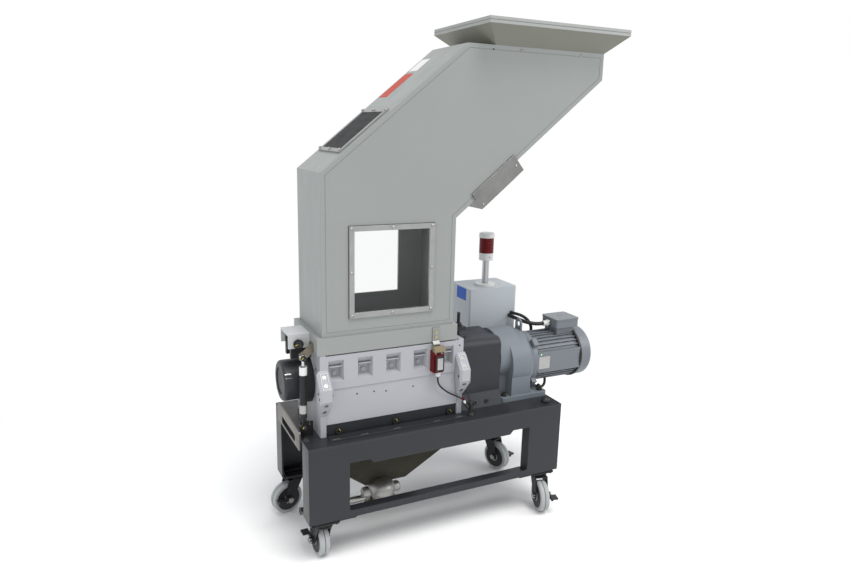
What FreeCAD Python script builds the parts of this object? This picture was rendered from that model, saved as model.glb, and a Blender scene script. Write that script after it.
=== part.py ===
import FreeCAD, Part
import math
import os

V = FreeCAD.Vector

# Base: a folded sheet cabinet on four casters. Working frame: left end x 0, front face y 0, floor z 0
base_length = 850.0
base_depth = 365.0
base_height = 232.5
base_sheet = 5.0
base_return = 61.0
window_margin = 120.0
window_rise = 20.5
window_head = 62.0
window_dip = 12.0
window_dip_margin = 73.5
window_corner = 8.0
window_lip = 40.0
rail_lip = 30.0
drop_hole_margin = 30.0
carrier_length = 130.0
carrier_thickness = 6.0
carrier_inset = 12.0
tie_plate_front = 75.0
tie_plate_rear_inset = 43.0
tie_plate_drop = 37.0
tie_plate_rise = 22.0
tie_plate_thickness = 4.0
tie_plate_corner = 8.0
hand_hold_length = 150.0
hand_hold_height = 22.0
hand_hold_drop = 2.0

# Casters
wheel_radius = 50.0
wheel_width = 30.0
tyre_edge = 5.0
hub_radius = 16.0
hub_gap = 0.5
wheel_axle_radius = 6.0
axle_nut_radius = 9.0
axle_nut_height = 6.0
caster_trail = 33.0
caster_top_gap = 14.5
caster_inset_left = 50.0
caster_inset_right = 53.0
caster_inset_side = 30.0
caster_plate_length = 84.0
caster_plate_width = 58.0
caster_plate_thickness = 4.0
swivel_race_radius = 27.0
swivel_gap = 0.3
fork_thickness = 3.5
fork_front_reach = 16.0
fork_eye_half = 11.0
wheel_side_gap = 3.0
caster_turn = {"front_left": 93.0, "front_right": 255.0, "rear_left": 193.0, "rear_right": 288.0}
pedal_reach = 46.0
pedal_width = 22.0
pedal_eye_radius = 11.0
pedal_eye_width = 6.0
pedal_gap = 0.3

# Rotor line and cutting chamber
chamber_depth = 237.0
rotor_drop = 100.0
rotor_front_clearance = 14.0
rotor_rear_clearance = 21.0
rotor_gap = 3.0
shaft_radius = 25.0
shaft_clearance = 0.5
chamber_left = 54.0
chamber_length = 455.0
chamber_front = 60.0
chamber_height = 244.0
end_plate_thickness = 17.0
front_wall_thickness = 40.0
rear_wall_thickness = 30.0
front_wall_seam_drop = 104.0
front_wall_top_gap = 3.0
lower_wall_rise = 36.0
lower_wall_thickness = 16.0
lower_wall_inset = 2.0
sill_height = 34.0
sill_gap = 1.0
sill_inset = 6.0
sill_depth = 34.0
seam_gap = 1.0
pocket_count = 5
pocket_width = 46.0
pocket_height = 63.0
pocket_depth = 22.0
pocket_pitch = 87.6
pocket_first_inset = 24.6
pocket_drop = 79.0
pocket_slant = 8.0
pocket_floor_height = 27.0
clamp_width = 38.0
clamp_foot_width = 22.0
clamp_edge = 6.0
clamp_reach = 38.0
clamp_rise = 65.0
clamp_slope_low = 56.0
clamp_face = 34.0
clamp_slope_high = 47.0

# Bearing housing on the left end plate
bearing_radius = 60.0
bearing_flange_radius = 72.0
bearing_reach = 84.0
bearing_flange_thickness = 24.0
bearing_rim = 9.0
bearing_cover_radius = 40.0
bearing_cover_depth = 3.0
bearing_end_wall = 20.0

# Coupling guard, gearbox and motor in line with the rotor
guard_length = 159.0
guard_half_width = 85.0
guard_top_drop = 26.0
guard_corner = 26.0
guard_foot = 22.0
guard_gap = 0.3
gearbox_gap = 2.0
output_barrel_length = 90.0
output_barrel_radius = 86.0
output_barrel_drop = 5.0
output_neck_half_width = 62.0
housing_setback = 38.0
housing_length = 72.0
housing_radius = 103.0
housing_half_width = 98.0
housing_taper_length = 20.0
foot_half_width = 102.0
foot_length = 178.0
foot_thickness = 16.0
foot_corner = 12.0
foot_sweep = 28.0
motor_rise = 111.0
motor_gap = 0.3
motor_flange_radius = 88.0
motor_flange_thickness = 18.0
motor_ear_width = 26.0
motor_ear_reach = 104.0
motor_radius = 78.0
motor_body_length = 173.0
motor_fin_height = 7.0
motor_fin_thickness = 2.6
motor_fin_count = 7
motor_fin_first = 24.0
motor_fin_step = 9.5
motor_panel_half_height = 36.0
motor_panel_reach = 84.0
fan_cover_radius = 87.0
fan_cover_length = 47.0
fan_cover_corner = 14.0
fan_slot_count = 18
fan_slot_inner = 24.0
fan_slot_outer = 66.0
fan_slot_width = 5.0
fan_slot_depth = 3.0
motor_seam = 5.0
terminal_inset = 96.0
terminal_length = 94.0
terminal_depth = 87.0
terminal_height = 31.0
terminal_neck_inset = 9.0
terminal_neck_height = 20.0
terminal_lid_height = 6.0
terminal_corner = 8.0
gland_radius = 9.0
gland_nut_radius = 12.0
gland_nut_length = 9.0
gland_length = 26.0
gland_drop = 20.0
lift_plate_thickness = 6.0
lift_plate_width = 34.0
lift_plate_height = 54.0
lift_hole_radius = 10.0

# Control cabinet and signal tower
cabinet_width = 187.0
cabinet_inset = 8.0
cabinet_gap = 1.0
cabinet_depth = 141.0
cabinet_stand_height = 35.0
cabinet_height = 300.0
cabinet_edge = 6.0
cabinet_stand_half = 60.0
cabinet_stand_front_inset = 20.0
cabinet_stand_rear_inset = 12.0
tower_inset = 86.0
tower_setback = 48.0
tower_foot_radius = 36.0
tower_foot_height = 8.0
tower_pole_radius = 11.0
tower_pole_height = 83.0
tower_radius = 25.0
tower_collar_height = 25.0
tower_lens_height = 53.0
tower_cap_radius = 27.0
tower_cap_height = 17.0
tower_cap_edge = 6.0

# Hopper: two flat sides joined by two folded sheets
hopper_inset = 9.0
hopper_shaft_length = 410.0
hopper_front_inset = 7.0
hopper_rear_inset = 7.0
flange_height = 49.0
hopper_sheet = 3.0
fold_line_inset = 12.0
fold_line_width = 2.0
fold_line_depth = 0.8
hopper_left_height = 452.0
hopper_right_height = 320.0
hopper_mouth_height = 78.0
hopper_top_left_reach = 431.0
hopper_slope_reach = 499.0
hopper_slope_rise = 410.0
flange_overhang_left = 7.0
flange_overhang_right = 12.0
flange_gap = 1.0
flange_mouth_margin = 4.0
pane_frame_inset = 79.0
pane_frame_size = 261.0
pane_frame_rise = 48.0
pane_frame_width = 15.0
pane_frame_thickness = 5.0
pane_thickness = 4.0
pane_gap = 0.3

# Feed tray flaring out above the hopper mouth
tray_mouth_length = 389.0
tray_mouth_inset = 3.0
tray_flare_left = 55.0
tray_flare_right = 49.0
tray_flare_front = 57.0
tray_flare_rear = 58.0
tray_flare_height = 49.0
tray_rim_height = 18.0
tray_sheet = 3.0
roof_gap = 0.3

# Inspection pane on the upper slope and cover box on the lower slope
slope_pane_offset = 80.0
slope_pane_length = 183.0
slope_pane_width = 184.0
slope_frame_width = 13.0
slope_frame_thickness = 5.0
cover_offset = 80.0
cover_length = 180.0
cover_depth = 36.0
cover_flap_thickness = 5.0
cover_flap_height = 22.0
cover_lip_depth = 9.0
cover_lip_inset = 14.0
cover_lip_trim = 30.0
cover_edge = 1.0

# Hopper hinge at the left end, with its channel, lugs and bolt
hinge_reach = 42.0
hinge_rise = 22.0
hinge_setback = 113.5
channel_length = 62.0
channel_width = 85.0
channel_height = 42.0
channel_thickness = 5.0
hinge_bolt_radius = 8.0
hinge_bolt_clearance = 0.4
hinge_head_radius = 13.0
hinge_head_height = 9.0
hinge_lug_thickness = 14.0
hinge_lug_gap = 6.0
hinge_lug_radius = 17.0
hinge_lug_step = 3.0

# Gas strut beside the hinge
strut_setback = 30.0
strut_lower_reach = 41.0
strut_lower_rise = 32.0
strut_upper_reach = 39.0
strut_upper_drop = 7.0
strut_eye_radius = 9.0
strut_eye_width = 9.0
strut_pin_radius = 4.0
strut_pin_clearance = 0.4
strut_body_radius = 10.5
strut_bore_radius = 8.5
strut_rod_radius = 4.0
strut_body_bottom = 27.0
strut_end_wall = 4.0
strut_rod_exposed = 45.0
strut_rod_length = 110.0
strut_bracket_thickness = 5.0
strut_bracket_gap = 1.0
strut_bracket_length = 39.0
strut_bracket_depth = 26.0
strut_nut_radius = 7.0
strut_nut_height = 5.0
strut_nut_gap = 1.0
strut_seat_rise = 3.0
strut_seat_height = 24.0

# Latch bolt at the right end of the hopper flange
latch_reach = 13.0
latch_setback = 60.0
latch_radius = 5.0
latch_rise = 67.0
latch_drop = 17.0
latch_lug_thickness = 12.0
latch_lug_width = 34.0
latch_lug_rise = 10.0
latch_lug_drop = 8.0
latch_nut_radius = 10.0
latch_nut_height = 10.0
latch_clearance = 2.0

# Safety switch on the front wall and its actuator on the hopper
switch_inset = 113.0
switch_width = 32.0
switch_drop = 88.0
switch_height = 65.0
switch_depth = 26.0
switch_cover_depth = 8.0
switch_cover_margin = 4.0
switch_gland_inset = 12.0
switch_gland_reach = 14.0
switch_gland_radius = 7.0
switch_gland_length = 17.0
actuator_inset = 97.0
actuator_width = 22.0
actuator_height = 46.0
actuator_thickness = 3.0
actuator_step = 8.0
actuator_gap = 6.0

# Funnel and outlet under the chamber
outlet_offset = 8.5
funnel_front_inset = 19.0
funnel_rear_inset = 16.0
funnel_skirt = 90.0
funnel_sheet = 2.5
funnel_mouth_half_length = 69.0
funnel_mouth_half_depth = 36.0
outlet_height = 102.0
outlet_radius = 36.0
outlet_half_length = 52.0
outlet_end_radius = 15.0
outlet_knob_radius = 13.0
outlet_knob_length = 17.0
outlet_neck_half_length = 45.0
outlet_neck_half_depth = 30.0
outlet_neck_height = 21.0
outlet_neck_gap = 0.3
outlet_pan_half_length = 53.0
outlet_pan_half_depth = 28.0
outlet_pan_drop = 46.0
suction_radius = 12.0
suction_wall = 2.0
suction_length = 215.0
suction_drop = 27.0

# Cables
motor_cable_radius = 6.5
switch_cable_radius = 2.5
switch_cable_drop_reach = 20.0
switch_cable_drop_setback = 26.0
motor_cable_inset = 26.0
motor_cable_lead = 26.0
motor_cable_rise = 10.5
motor_cable_way = [(0.06, 0.47, 8.5), (0.21, 0.245, 5.0), (0.44, 0.087, 2.0), (0.71, 0.005, 0.0)]
switch_cable_landing = 0.885
switch_cable_way = [(0.0, 0.0, 0.12), (0.1, 3.0, 0.25), (0.27, 5.5, 0.375), (0.46, 7.5, 0.48),
                    (0.67, 8.0, 0.57), (0.87, 4.0, 0.66), (0.99, -6.0, 0.77)]

# Places that follow from the sizes above
base_bottom = 2 * wheel_radius + caster_top_gap + caster_plate_thickness * 3 + carrier_thickness
base_top = base_bottom + base_height
window_left = window_margin
window_right = base_length - window_margin
window_bottom = base_bottom + window_rise
window_top = base_top - window_head
window_dip_left = window_left + window_dip_margin
window_dip_right = window_right - window_dip_margin
tie_plate_bottom = base_top - tie_plate_drop
tie_plate_top = base_top + tie_plate_rise
tie_plate_rear = base_depth - tie_plate_rear_inset
chamber_right = chamber_left + chamber_length
chamber_rear = chamber_front + chamber_depth
rotor_space = chamber_depth - front_wall_thickness - rear_wall_thickness
rotor_radius = (rotor_space - rotor_front_clearance - rotor_rear_clearance) / 2
chamber_top = base_top + chamber_height
rotor_axis_y = chamber_front + front_wall_thickness + rotor_front_clearance + rotor_radius
rotor_axis_z = chamber_top - rotor_drop
front_wall_seam = chamber_top - front_wall_seam_drop
front_wall_top = chamber_top - front_wall_top_gap
lower_wall_bottom = base_top + lower_wall_rise
sill_bottom = base_top + sill_gap
sill_top = base_top + sill_height
pocket_first = chamber_left + pocket_first_inset
pocket_bottom = chamber_top - pocket_drop
clamp_bottom = base_top + clamp_rise
clamp_low_knee = clamp_bottom + clamp_slope_low
clamp_high_knee = clamp_low_knee + clamp_face
clamp_top = clamp_high_knee + clamp_slope_high
bearing_left = chamber_left - bearing_reach
guard_left = chamber_right + guard_gap
guard_right = chamber_right + guard_length
guard_top = chamber_top - guard_top_drop
gearbox_left = guard_right + gearbox_gap
motor_axis_z = base_top + motor_rise
housing_right = gearbox_left + housing_setback + housing_length
motor_left = housing_right + housing_taper_length + motor_gap
motor_right = motor_left + motor_flange_thickness + motor_body_length
fan_cover_right = motor_right + motor_seam + fan_cover_length
terminal_left = motor_left + motor_flange_thickness + terminal_inset
terminal_bottom = motor_axis_z + motor_radius + terminal_neck_height
terminal_top = terminal_bottom + terminal_height
gland_z = terminal_top - gland_drop
gland_tip = terminal_left - gland_length
cabinet_right = base_length - cabinet_inset
cabinet_left = cabinet_right - cabinet_width
cabinet_front = rotor_axis_y + housing_radius + cabinet_gap
cabinet_rear = cabinet_front + cabinet_depth
cabinet_bottom = base_top + cabinet_stand_height
cabinet_top = cabinet_bottom + cabinet_height
tower_x = cabinet_left + tower_inset
tower_y = cabinet_front + tower_setback
flange_left = chamber_left - flange_overhang_left
flange_bottom = chamber_top + flange_gap
flange_front = chamber_front
flange_rear = chamber_rear
hopper_left = chamber_left + hopper_inset
hopper_low_right = hopper_left + hopper_shaft_length
flange_right = hopper_low_right + flange_overhang_right
hopper_front = chamber_front + hopper_front_inset
hopper_rear = chamber_rear - hopper_rear_inset
hopper_bottom = flange_bottom + flange_height
hopper_left_knee = hopper_bottom + hopper_left_height
hopper_right_knee = hopper_bottom + hopper_right_height
hopper_far_right = hopper_low_right + hopper_slope_reach
hopper_chute_low = hopper_right_knee + hopper_slope_rise
hopper_top = hopper_chute_low + hopper_mouth_height
hopper_top_left = hopper_left + hopper_top_left_reach
pane_frame_left = hopper_left + pane_frame_inset
pane_frame_right = pane_frame_left + pane_frame_size
pane_frame_bottom = hopper_bottom + pane_frame_rise
pane_frame_top = pane_frame_bottom + pane_frame_size
tray_left = hopper_far_right - tray_mouth_length
tray_rim_left = tray_left - tray_flare_left
tray_rim_right = hopper_far_right + tray_flare_right
tray_rim_front = hopper_front - tray_flare_front
tray_rim_rear = hopper_rear + tray_flare_rear
tray_rim_bottom = hopper_top + tray_flare_height
tray_rim_top = tray_rim_bottom + tray_rim_height
hinge_x = chamber_left - hinge_reach
hinge_z = chamber_top + hinge_rise
hinge_y = chamber_front + hinge_setback
channel_left = flange_left - channel_length
channel_bottom = hopper_bottom - channel_height
strut_y = chamber_front + strut_setback
strut_lower_x = chamber_left - strut_lower_reach
strut_lower_z = base_top + strut_lower_rise
strut_upper_x = chamber_left - strut_upper_reach
strut_upper_z = chamber_top - strut_upper_drop
latch_x = chamber_right + latch_reach
latch_y = chamber_front + latch_setback
latch_top = chamber_top + latch_rise
latch_bottom = chamber_top - latch_drop
switch_left = chamber_right - switch_inset
switch_bottom = chamber_top - switch_drop
switch_gland_x = switch_left + switch_width - switch_gland_inset
switch_gland_y = chamber_front - switch_gland_reach
actuator_x = chamber_right - actuator_inset
actuator_top = flange_bottom + actuator_height
funnel_center_x = (chamber_left + chamber_right) / 2 + outlet_offset
funnel_left = chamber_left + end_plate_thickness
funnel_right = chamber_right - end_plate_thickness
funnel_front = chamber_front + funnel_front_inset
funnel_rear = chamber_rear - funnel_rear_inset
funnel_knee = base_top - base_sheet - funnel_skirt
funnel_bottom = outlet_height + outlet_radius + outlet_neck_gap
suction_z = outlet_height - suction_drop
suction_right = funnel_center_x - outlet_pan_half_length
suction_left = suction_right - suction_length

shapes = {}


def keep(name, shape):
    """Store one named sub-part, in the working frame."""
    shapes[name] = shape


def box(x0, x1, y0, y1, z0, z1):
    """A block between two corners."""
    return Part.makeBox(x1 - x0, y1 - y0, z1 - z0, V(x0, y0, z0))


def rod(radius, start, end):
    """A round bar from one point to another."""
    axis = V(*end) - V(*start)
    return Part.makeCylinder(radius, axis.Length, V(*start), axis)


def prism(points, thickness):
    """A flat outline of 3-D points pushed along a vector."""
    wire = Part.makePolygon([V(*p) for p in points] + [V(*points[0])])
    return Part.Face(wire).extrude(V(*thickness))


def side_profile(points, y0, y1):
    """An outline in X and Z pushed along Y."""
    return prism([(x, y0, z) for x, z in points], (0, y1 - y0, 0))


def end_profile(points, x0, x1):
    """An outline in Y and Z pushed along X."""
    return prism([(x0, y, z) for y, z in points], (x1 - x0, 0, 0))


def slot(x0, x1, z0, z1, y0, y1, radius):
    """A round-cornered opening cutter seen from the front."""
    block = box(x0, x1, y0, y1, z0, z1)
    edges = [e for e in block.Edges if abs(e.tangentAt(e.FirstParameter).y) > 0.9]
    return block.makeFillet(radius, edges)


def offset_line(a, b, distance):
    """The line a-b in X and Z moved to its right by a distance."""
    run = math.hypot(b[0] - a[0], b[1] - a[1])
    nx = (b[1] - a[1]) / run * distance
    nz = -(b[0] - a[0]) / run * distance
    return (a[0] + nx, a[1] + nz), (b[0] + nx, b[1] + nz)


def crossing(line_a, line_b):
    """Where two lines in X and Z meet."""
    (x1, z1), (x2, z2) = line_a
    (x3, z3), (x4, z4) = line_b
    den = (x1 - x2) * (z3 - z4) - (z1 - z2) * (x3 - x4)
    first = x1 * z2 - z1 * x2
    second = x3 * z4 - z3 * x4
    return ((first * (x3 - x4) - (x1 - x2) * second) / den,
            (first * (z3 - z4) - (z1 - z2) * second) / den)


def folded_strip(points, thickness):
    """Outline of a sheet of even thickness that follows a bent line, on its right."""
    lines = [offset_line(a, b, thickness) for a, b in zip(points, points[1:])]
    inner = [lines[0][0]]
    inner += [crossing(p, q) for p, q in zip(lines, lines[1:])]
    inner.append(lines[-1][1])
    return list(points) + inner[::-1]


def make_base():
    """Top plate, two windowed panels and the lifting plate."""
    bottom = base_bottom
    panel_top = base_top - base_sheet
    top = box(0, base_length, 0, base_depth, panel_top, base_top)
    top = top.cut(box(funnel_left + drop_hole_margin, funnel_right - drop_hole_margin,
                      funnel_front + drop_hole_margin, funnel_rear - drop_hole_margin,
                      panel_top - 1, base_top + 1))
    keep("base_top", top)

    panel = box(0, base_length, 0, base_sheet, bottom, panel_top)
    dip = window_top - window_dip
    panel = panel.cut(slot(window_left, window_right, window_bottom, dip, -1, base_sheet + 1, window_corner))
    rise = window_dip
    for x0, x1, slant in ((window_left, window_dip_left, 1), (window_dip_right, window_right, -1)):
        low = [(x0, dip - window_corner), (x1, dip - window_corner)]
        high = [(x1, window_top), (x0, window_top)]
        if slant > 0:
            high[0] = (x1 - rise, window_top)
            high.insert(0, (x1, dip))
        else:
            high[1] = (x0 + rise, window_top)
            high.append((x0, dip))
        panel = panel.cut(side_profile(low + high, -1, base_sheet + 1))
    for x0 in (0, base_length - base_sheet):
        panel = panel.fuse(box(x0, x0 + base_sheet, base_sheet, base_return, bottom, panel_top))
    panel = panel.fuse(box(base_sheet, base_length - base_sheet, base_sheet, rail_lip, bottom,
                           bottom + base_sheet))
    for x0 in (window_left - base_sheet, window_right):
        panel = panel.fuse(box(x0, x0 + base_sheet, base_sheet, window_lip, bottom + base_sheet, panel_top))
    panel = panel.removeSplitter()
    keep("base_front_panel", panel)
    keep("base_rear_panel", panel.mirror(V(0, base_depth / 2, 0), V(0, 1, 0)))

    plate = box(-tie_plate_thickness, 0, tie_plate_front, tie_plate_rear, tie_plate_bottom, tie_plate_top)
    corners = [e for e in plate.Edges if abs(e.tangentAt(e.FirstParameter).x) > 0.9]
    plate = plate.makeFillet(tie_plate_corner, corners)
    mid_y = (tie_plate_front + tie_plate_rear) / 2
    mid_z = panel_top - hand_hold_drop - hand_hold_height / 2
    hold = box(-tie_plate_thickness - 1, 1, mid_y - hand_hold_length / 2, mid_y + hand_hold_length / 2,
               mid_z - hand_hold_height / 2, mid_z + hand_hold_height / 2)
    grip = [e for e in hold.Edges if abs(e.tangentAt(e.FirstParameter).x) > 0.9]
    keep("left_lifting_plate", plate.cut(hold.makeFillet(hand_hold_height * 0.45, grip)))



def caster_place(corner):
    """Swivel position in X and Y of one caster."""
    x = caster_inset_left if corner.endswith("left") else base_length - caster_inset_right
    y = caster_inset_side if corner.startswith("front") else base_depth - caster_inset_side
    return x, y


def make_casters():
    """Two carrier plates with a swivel caster at each end: fork, wheel and brake pedal."""
    carrier_bottom = base_bottom - carrier_thickness
    plate_bottom = carrier_bottom - caster_plate_thickness
    race_bottom = plate_bottom - caster_plate_thickness * 2
    half = wheel_width / 2
    cheek_in = half + wheel_side_gap
    cheek_out = cheek_in + fork_thickness
    fork_top = race_bottom - swivel_gap
    carriers = {}
    for end, x0 in (("left", carrier_inset), ("right", base_length - carrier_inset - carrier_length)):
        carriers[end] = box(x0, x0 + carrier_length, carrier_inset / 2, base_depth - carrier_inset / 2,
                            carrier_bottom, base_bottom)
    for corner, turn in caster_turn.items():
        x, y = caster_place(corner)
        plate = box(x - caster_plate_length / 2, x + caster_plate_length / 2, y - caster_plate_width / 2,
                    y + caster_plate_width / 2, plate_bottom, carrier_bottom)
        race = rod(swivel_race_radius, (x, y, race_bottom), (x, y, plate_bottom))
        end = corner.split("_")[1]
        carriers[end] = carriers[end].fuse([plate, race]).removeSplitter()

        # The fork is drawn trailing along +X, then turned to its place
        crown = rod(swivel_race_radius, (0, 0, fork_top - fork_thickness), (0, 0, fork_top))
        bridge = box(-fork_front_reach, caster_trail, -cheek_out, cheek_out, fork_top - fork_thickness,
                     fork_top)
        eye_low = wheel_radius - axle_nut_radius
        cheek = side_profile([(-fork_front_reach, fork_top), (caster_trail, fork_top),
                              (caster_trail + fork_eye_half + 2, wheel_radius + wheel_axle_radius),
                              (caster_trail + fork_eye_half, eye_low), (caster_trail - fork_eye_half,
                                                                        eye_low)],
                             cheek_in, cheek_out)
        fork = crown.fuse([bridge, cheek, cheek.mirror(V(0, 0, 0), V(0, 1, 0))])
        past = cheek_out + pedal_width + axle_nut_height
        bore = rod(wheel_axle_radius + shaft_clearance, (caster_trail, -past, wheel_radius),
                   (caster_trail, past, wheel_radius))
        fork = fork.cut(bore)
        eye_in = cheek_out + pedal_gap
        eye_out = eye_in + pedal_eye_width
        nut_in = eye_out + pedal_gap
        nut_out = nut_in + axle_nut_height
        axle = rod(wheel_axle_radius, (caster_trail, -cheek_out - axle_nut_height, wheel_radius),
                   (caster_trail, nut_out, wheel_radius))
        nuts = [rod(axle_nut_radius, (caster_trail, nut_in, wheel_radius), (caster_trail, nut_out,
                                                                            wheel_radius)),
                rod(axle_nut_radius, (caster_trail, -cheek_out - axle_nut_height, wheel_radius),
                    (caster_trail, -cheek_out, wheel_radius))]
        wheel = rod(wheel_radius, (caster_trail, -half, wheel_radius), (caster_trail, half, wheel_radius))
        wheel = wheel.makeFillet(tyre_edge, [e
                                             for e in wheel.Edges if e.Length > 2 * math.pi * wheel_radius * 0.9])
        hub_end = half + wheel_side_gap - hub_gap
        hub = rod(hub_radius, (caster_trail, -hub_end, wheel_radius), (caster_trail, hub_end, wheel_radius))
        wheel = wheel.fuse(hub).cut(bore).removeSplitter()
        eye = rod(pedal_eye_radius, (caster_trail, eye_in, wheel_radius), (caster_trail, eye_out,
                                                                           wheel_radius))
        arm = box(caster_trail, caster_trail + pedal_reach, eye_in, eye_out, wheel_radius + 2,
                  wheel_radius + pedal_eye_radius)
        tread = box(caster_trail + pedal_reach * 0.45, caster_trail + pedal_reach, eye_in,
                    eye_in + pedal_width,
                    wheel_radius + pedal_eye_radius - 5, wheel_radius + pedal_eye_radius)
        pedal = eye.fuse([arm, tread]).cut(bore).removeSplitter()
        for name, solid in (("fork", fork.fuse([axle] + nuts).removeSplitter()), ("wheel", wheel),
                            ("pedal", pedal)):
            solid = solid.copy()
            solid.rotate(V(0, 0, 0), V(0, 0, 1), turn)
            solid.translate(V(x, y, 0))
            keep("caster_%s_%s" % (name, corner), solid)
    keep("caster_carriers", Part.makeCompound(list(carriers.values())))


def pocket(left):
    """Cutter for one bolt pocket in the front wall: a mouth that narrows to a small floor."""
    mouth = Part.makePolygon([V(left, chamber_front - 1, pocket_bottom),
                              V(left + pocket_width, chamber_front - 1, pocket_bottom),
                              V(left + pocket_width, chamber_front - 1, pocket_bottom + pocket_height),
                              V(left, chamber_front - 1, pocket_bottom + pocket_height),
                              V(left, chamber_front - 1, pocket_bottom)])
    depth = chamber_front + pocket_depth
    x0 = left + pocket_slant
    x1 = left + pocket_width - pocket_slant
    z0 = pocket_bottom + pocket_slant
    z1 = z0 + pocket_floor_height
    floor = Part.makePolygon([V(x0, depth, z0), V(x1, depth, z0), V(x1, depth, z1), V(x0, depth, z1),
                              V(x0, depth, z0)])
    return Part.makeLoft([mouth, floor], True, True)


def make_chamber():
    """End plates, walls, sill, clamp blocks and rotor."""
    inner_left = chamber_left + end_plate_thickness
    inner_right = chamber_right - end_plate_thickness
    bore = rod(shaft_radius + shaft_clearance, (chamber_left - 1, rotor_axis_y, rotor_axis_z),
               (chamber_right + 1, rotor_axis_y, rotor_axis_z))
    plates = [box(x0, x0 + end_plate_thickness, chamber_front, chamber_rear, base_top, chamber_top).cut(bore)
              for x0 in (chamber_left, inner_right)]
    keep("chamber_end_plates", Part.makeCompound(plates))
    wall = box(inner_left, inner_right, chamber_front, chamber_front + front_wall_thickness,
               front_wall_seam + seam_gap, front_wall_top)
    for index in range(pocket_count):
        wall = wall.cut(pocket(pocket_first + index * pocket_pitch))
    keep("front_wall_upper", wall)
    keep("front_wall_lower", box(inner_left, inner_right, chamber_front + lower_wall_inset,
                                 chamber_front + lower_wall_inset + lower_wall_thickness,
                                 lower_wall_bottom, front_wall_seam))
    keep("sill_bar", box(inner_left, inner_right, chamber_front + sill_inset,
                         chamber_front + sill_inset + sill_depth, sill_bottom, sill_top))
    keep("rear_wall", box(inner_left, inner_right, chamber_rear - rear_wall_thickness, chamber_rear,
                          base_top, front_wall_top))
    blocks = []
    outline = [(chamber_front, clamp_bottom), (chamber_front - clamp_reach, clamp_low_knee),
               (chamber_front - clamp_reach, clamp_high_knee), (chamber_front, clamp_top)]
    half = clamp_width / 2
    foot = clamp_foot_width / 2
    for center in (inner_left - end_plate_thickness / 2, inner_right + end_plate_thickness / 2):
        block = end_profile(outline, center - half, center + half)
        rim = [e for e in block.Edges if e.BoundBox.XLength < 1 and e.BoundBox.YMin < chamber_front - 1
               and e.BoundBox.ZMin > clamp_low_knee - 1 and e.BoundBox.YLength < clamp_reach + 1]
        block = block.makeChamfer(clamp_edge, rim)
        front = [(center - foot, clamp_bottom), (center + foot, clamp_bottom), (center + half,
                                                                                clamp_low_knee),
                 (center + half, clamp_top), (center - half, clamp_top), (center - half, clamp_low_knee)]
        blocks.append(block.common(side_profile(front, chamber_front - clamp_reach - 1, chamber_front)))
    keep("clamp_blocks", Part.makeCompound(blocks))

    body = rod(rotor_radius, (inner_left + rotor_gap, rotor_axis_y, rotor_axis_z),
               (inner_right - rotor_gap, rotor_axis_y, rotor_axis_z))
    shaft = rod(shaft_radius, (bearing_left + bearing_end_wall, rotor_axis_y, rotor_axis_z),
                (gearbox_left, rotor_axis_y, rotor_axis_z))
    keep("rotor", body.fuse(shaft).removeSplitter())


def make_bearing():
    """Round bearing housing bolted to the left end plate."""
    axis = (rotor_axis_y, rotor_axis_z)
    disc = rod(bearing_flange_radius, (chamber_left - bearing_flange_thickness, *axis), (chamber_left, *axis))
    cap = rod(bearing_radius, (bearing_left, *axis), (chamber_left, *axis))
    cap = cap.makeFillet(bearing_rim, [e for e in cap.Edges if e.BoundBox.XMax < bearing_left + 1])
    cap = cap.cut(rod(bearing_cover_radius, (bearing_left - 1, *axis),
                      (bearing_left + bearing_cover_depth, *axis)))
    hole = rod(shaft_radius + shaft_clearance, (bearing_left + bearing_end_wall - shaft_clearance, *axis),
               (chamber_left + 1, *axis))
    keep("bearing_housing", disc.fuse(cap).cut(hole).removeSplitter())


def make_guard():
    """Coupling guard with a rounded top and flared feet."""
    center = rotor_axis_y
    half = guard_half_width
    top = guard_top
    flare_top = base_top + guard_foot * 2
    outline = [(center - half - guard_foot, base_top), (center - half, flare_top), (center - half, top),
               (center + half, top), (center + half, flare_top), (center + half + guard_foot, base_top)]
    guard = end_profile(outline, guard_left, guard_right)
    guard = guard.makeFillet(guard_corner, [e for e in guard.Edges if e.BoundBox.ZMin > top - 1
                                            and e.BoundBox.YLength < 1])
    keep("coupling_guard", guard.cut(rod(shaft_radius + shaft_clearance,
                                         (chamber_right - 1, center, rotor_axis_z),
                                         (guard_right + 1, center, rotor_axis_z))))


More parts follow.
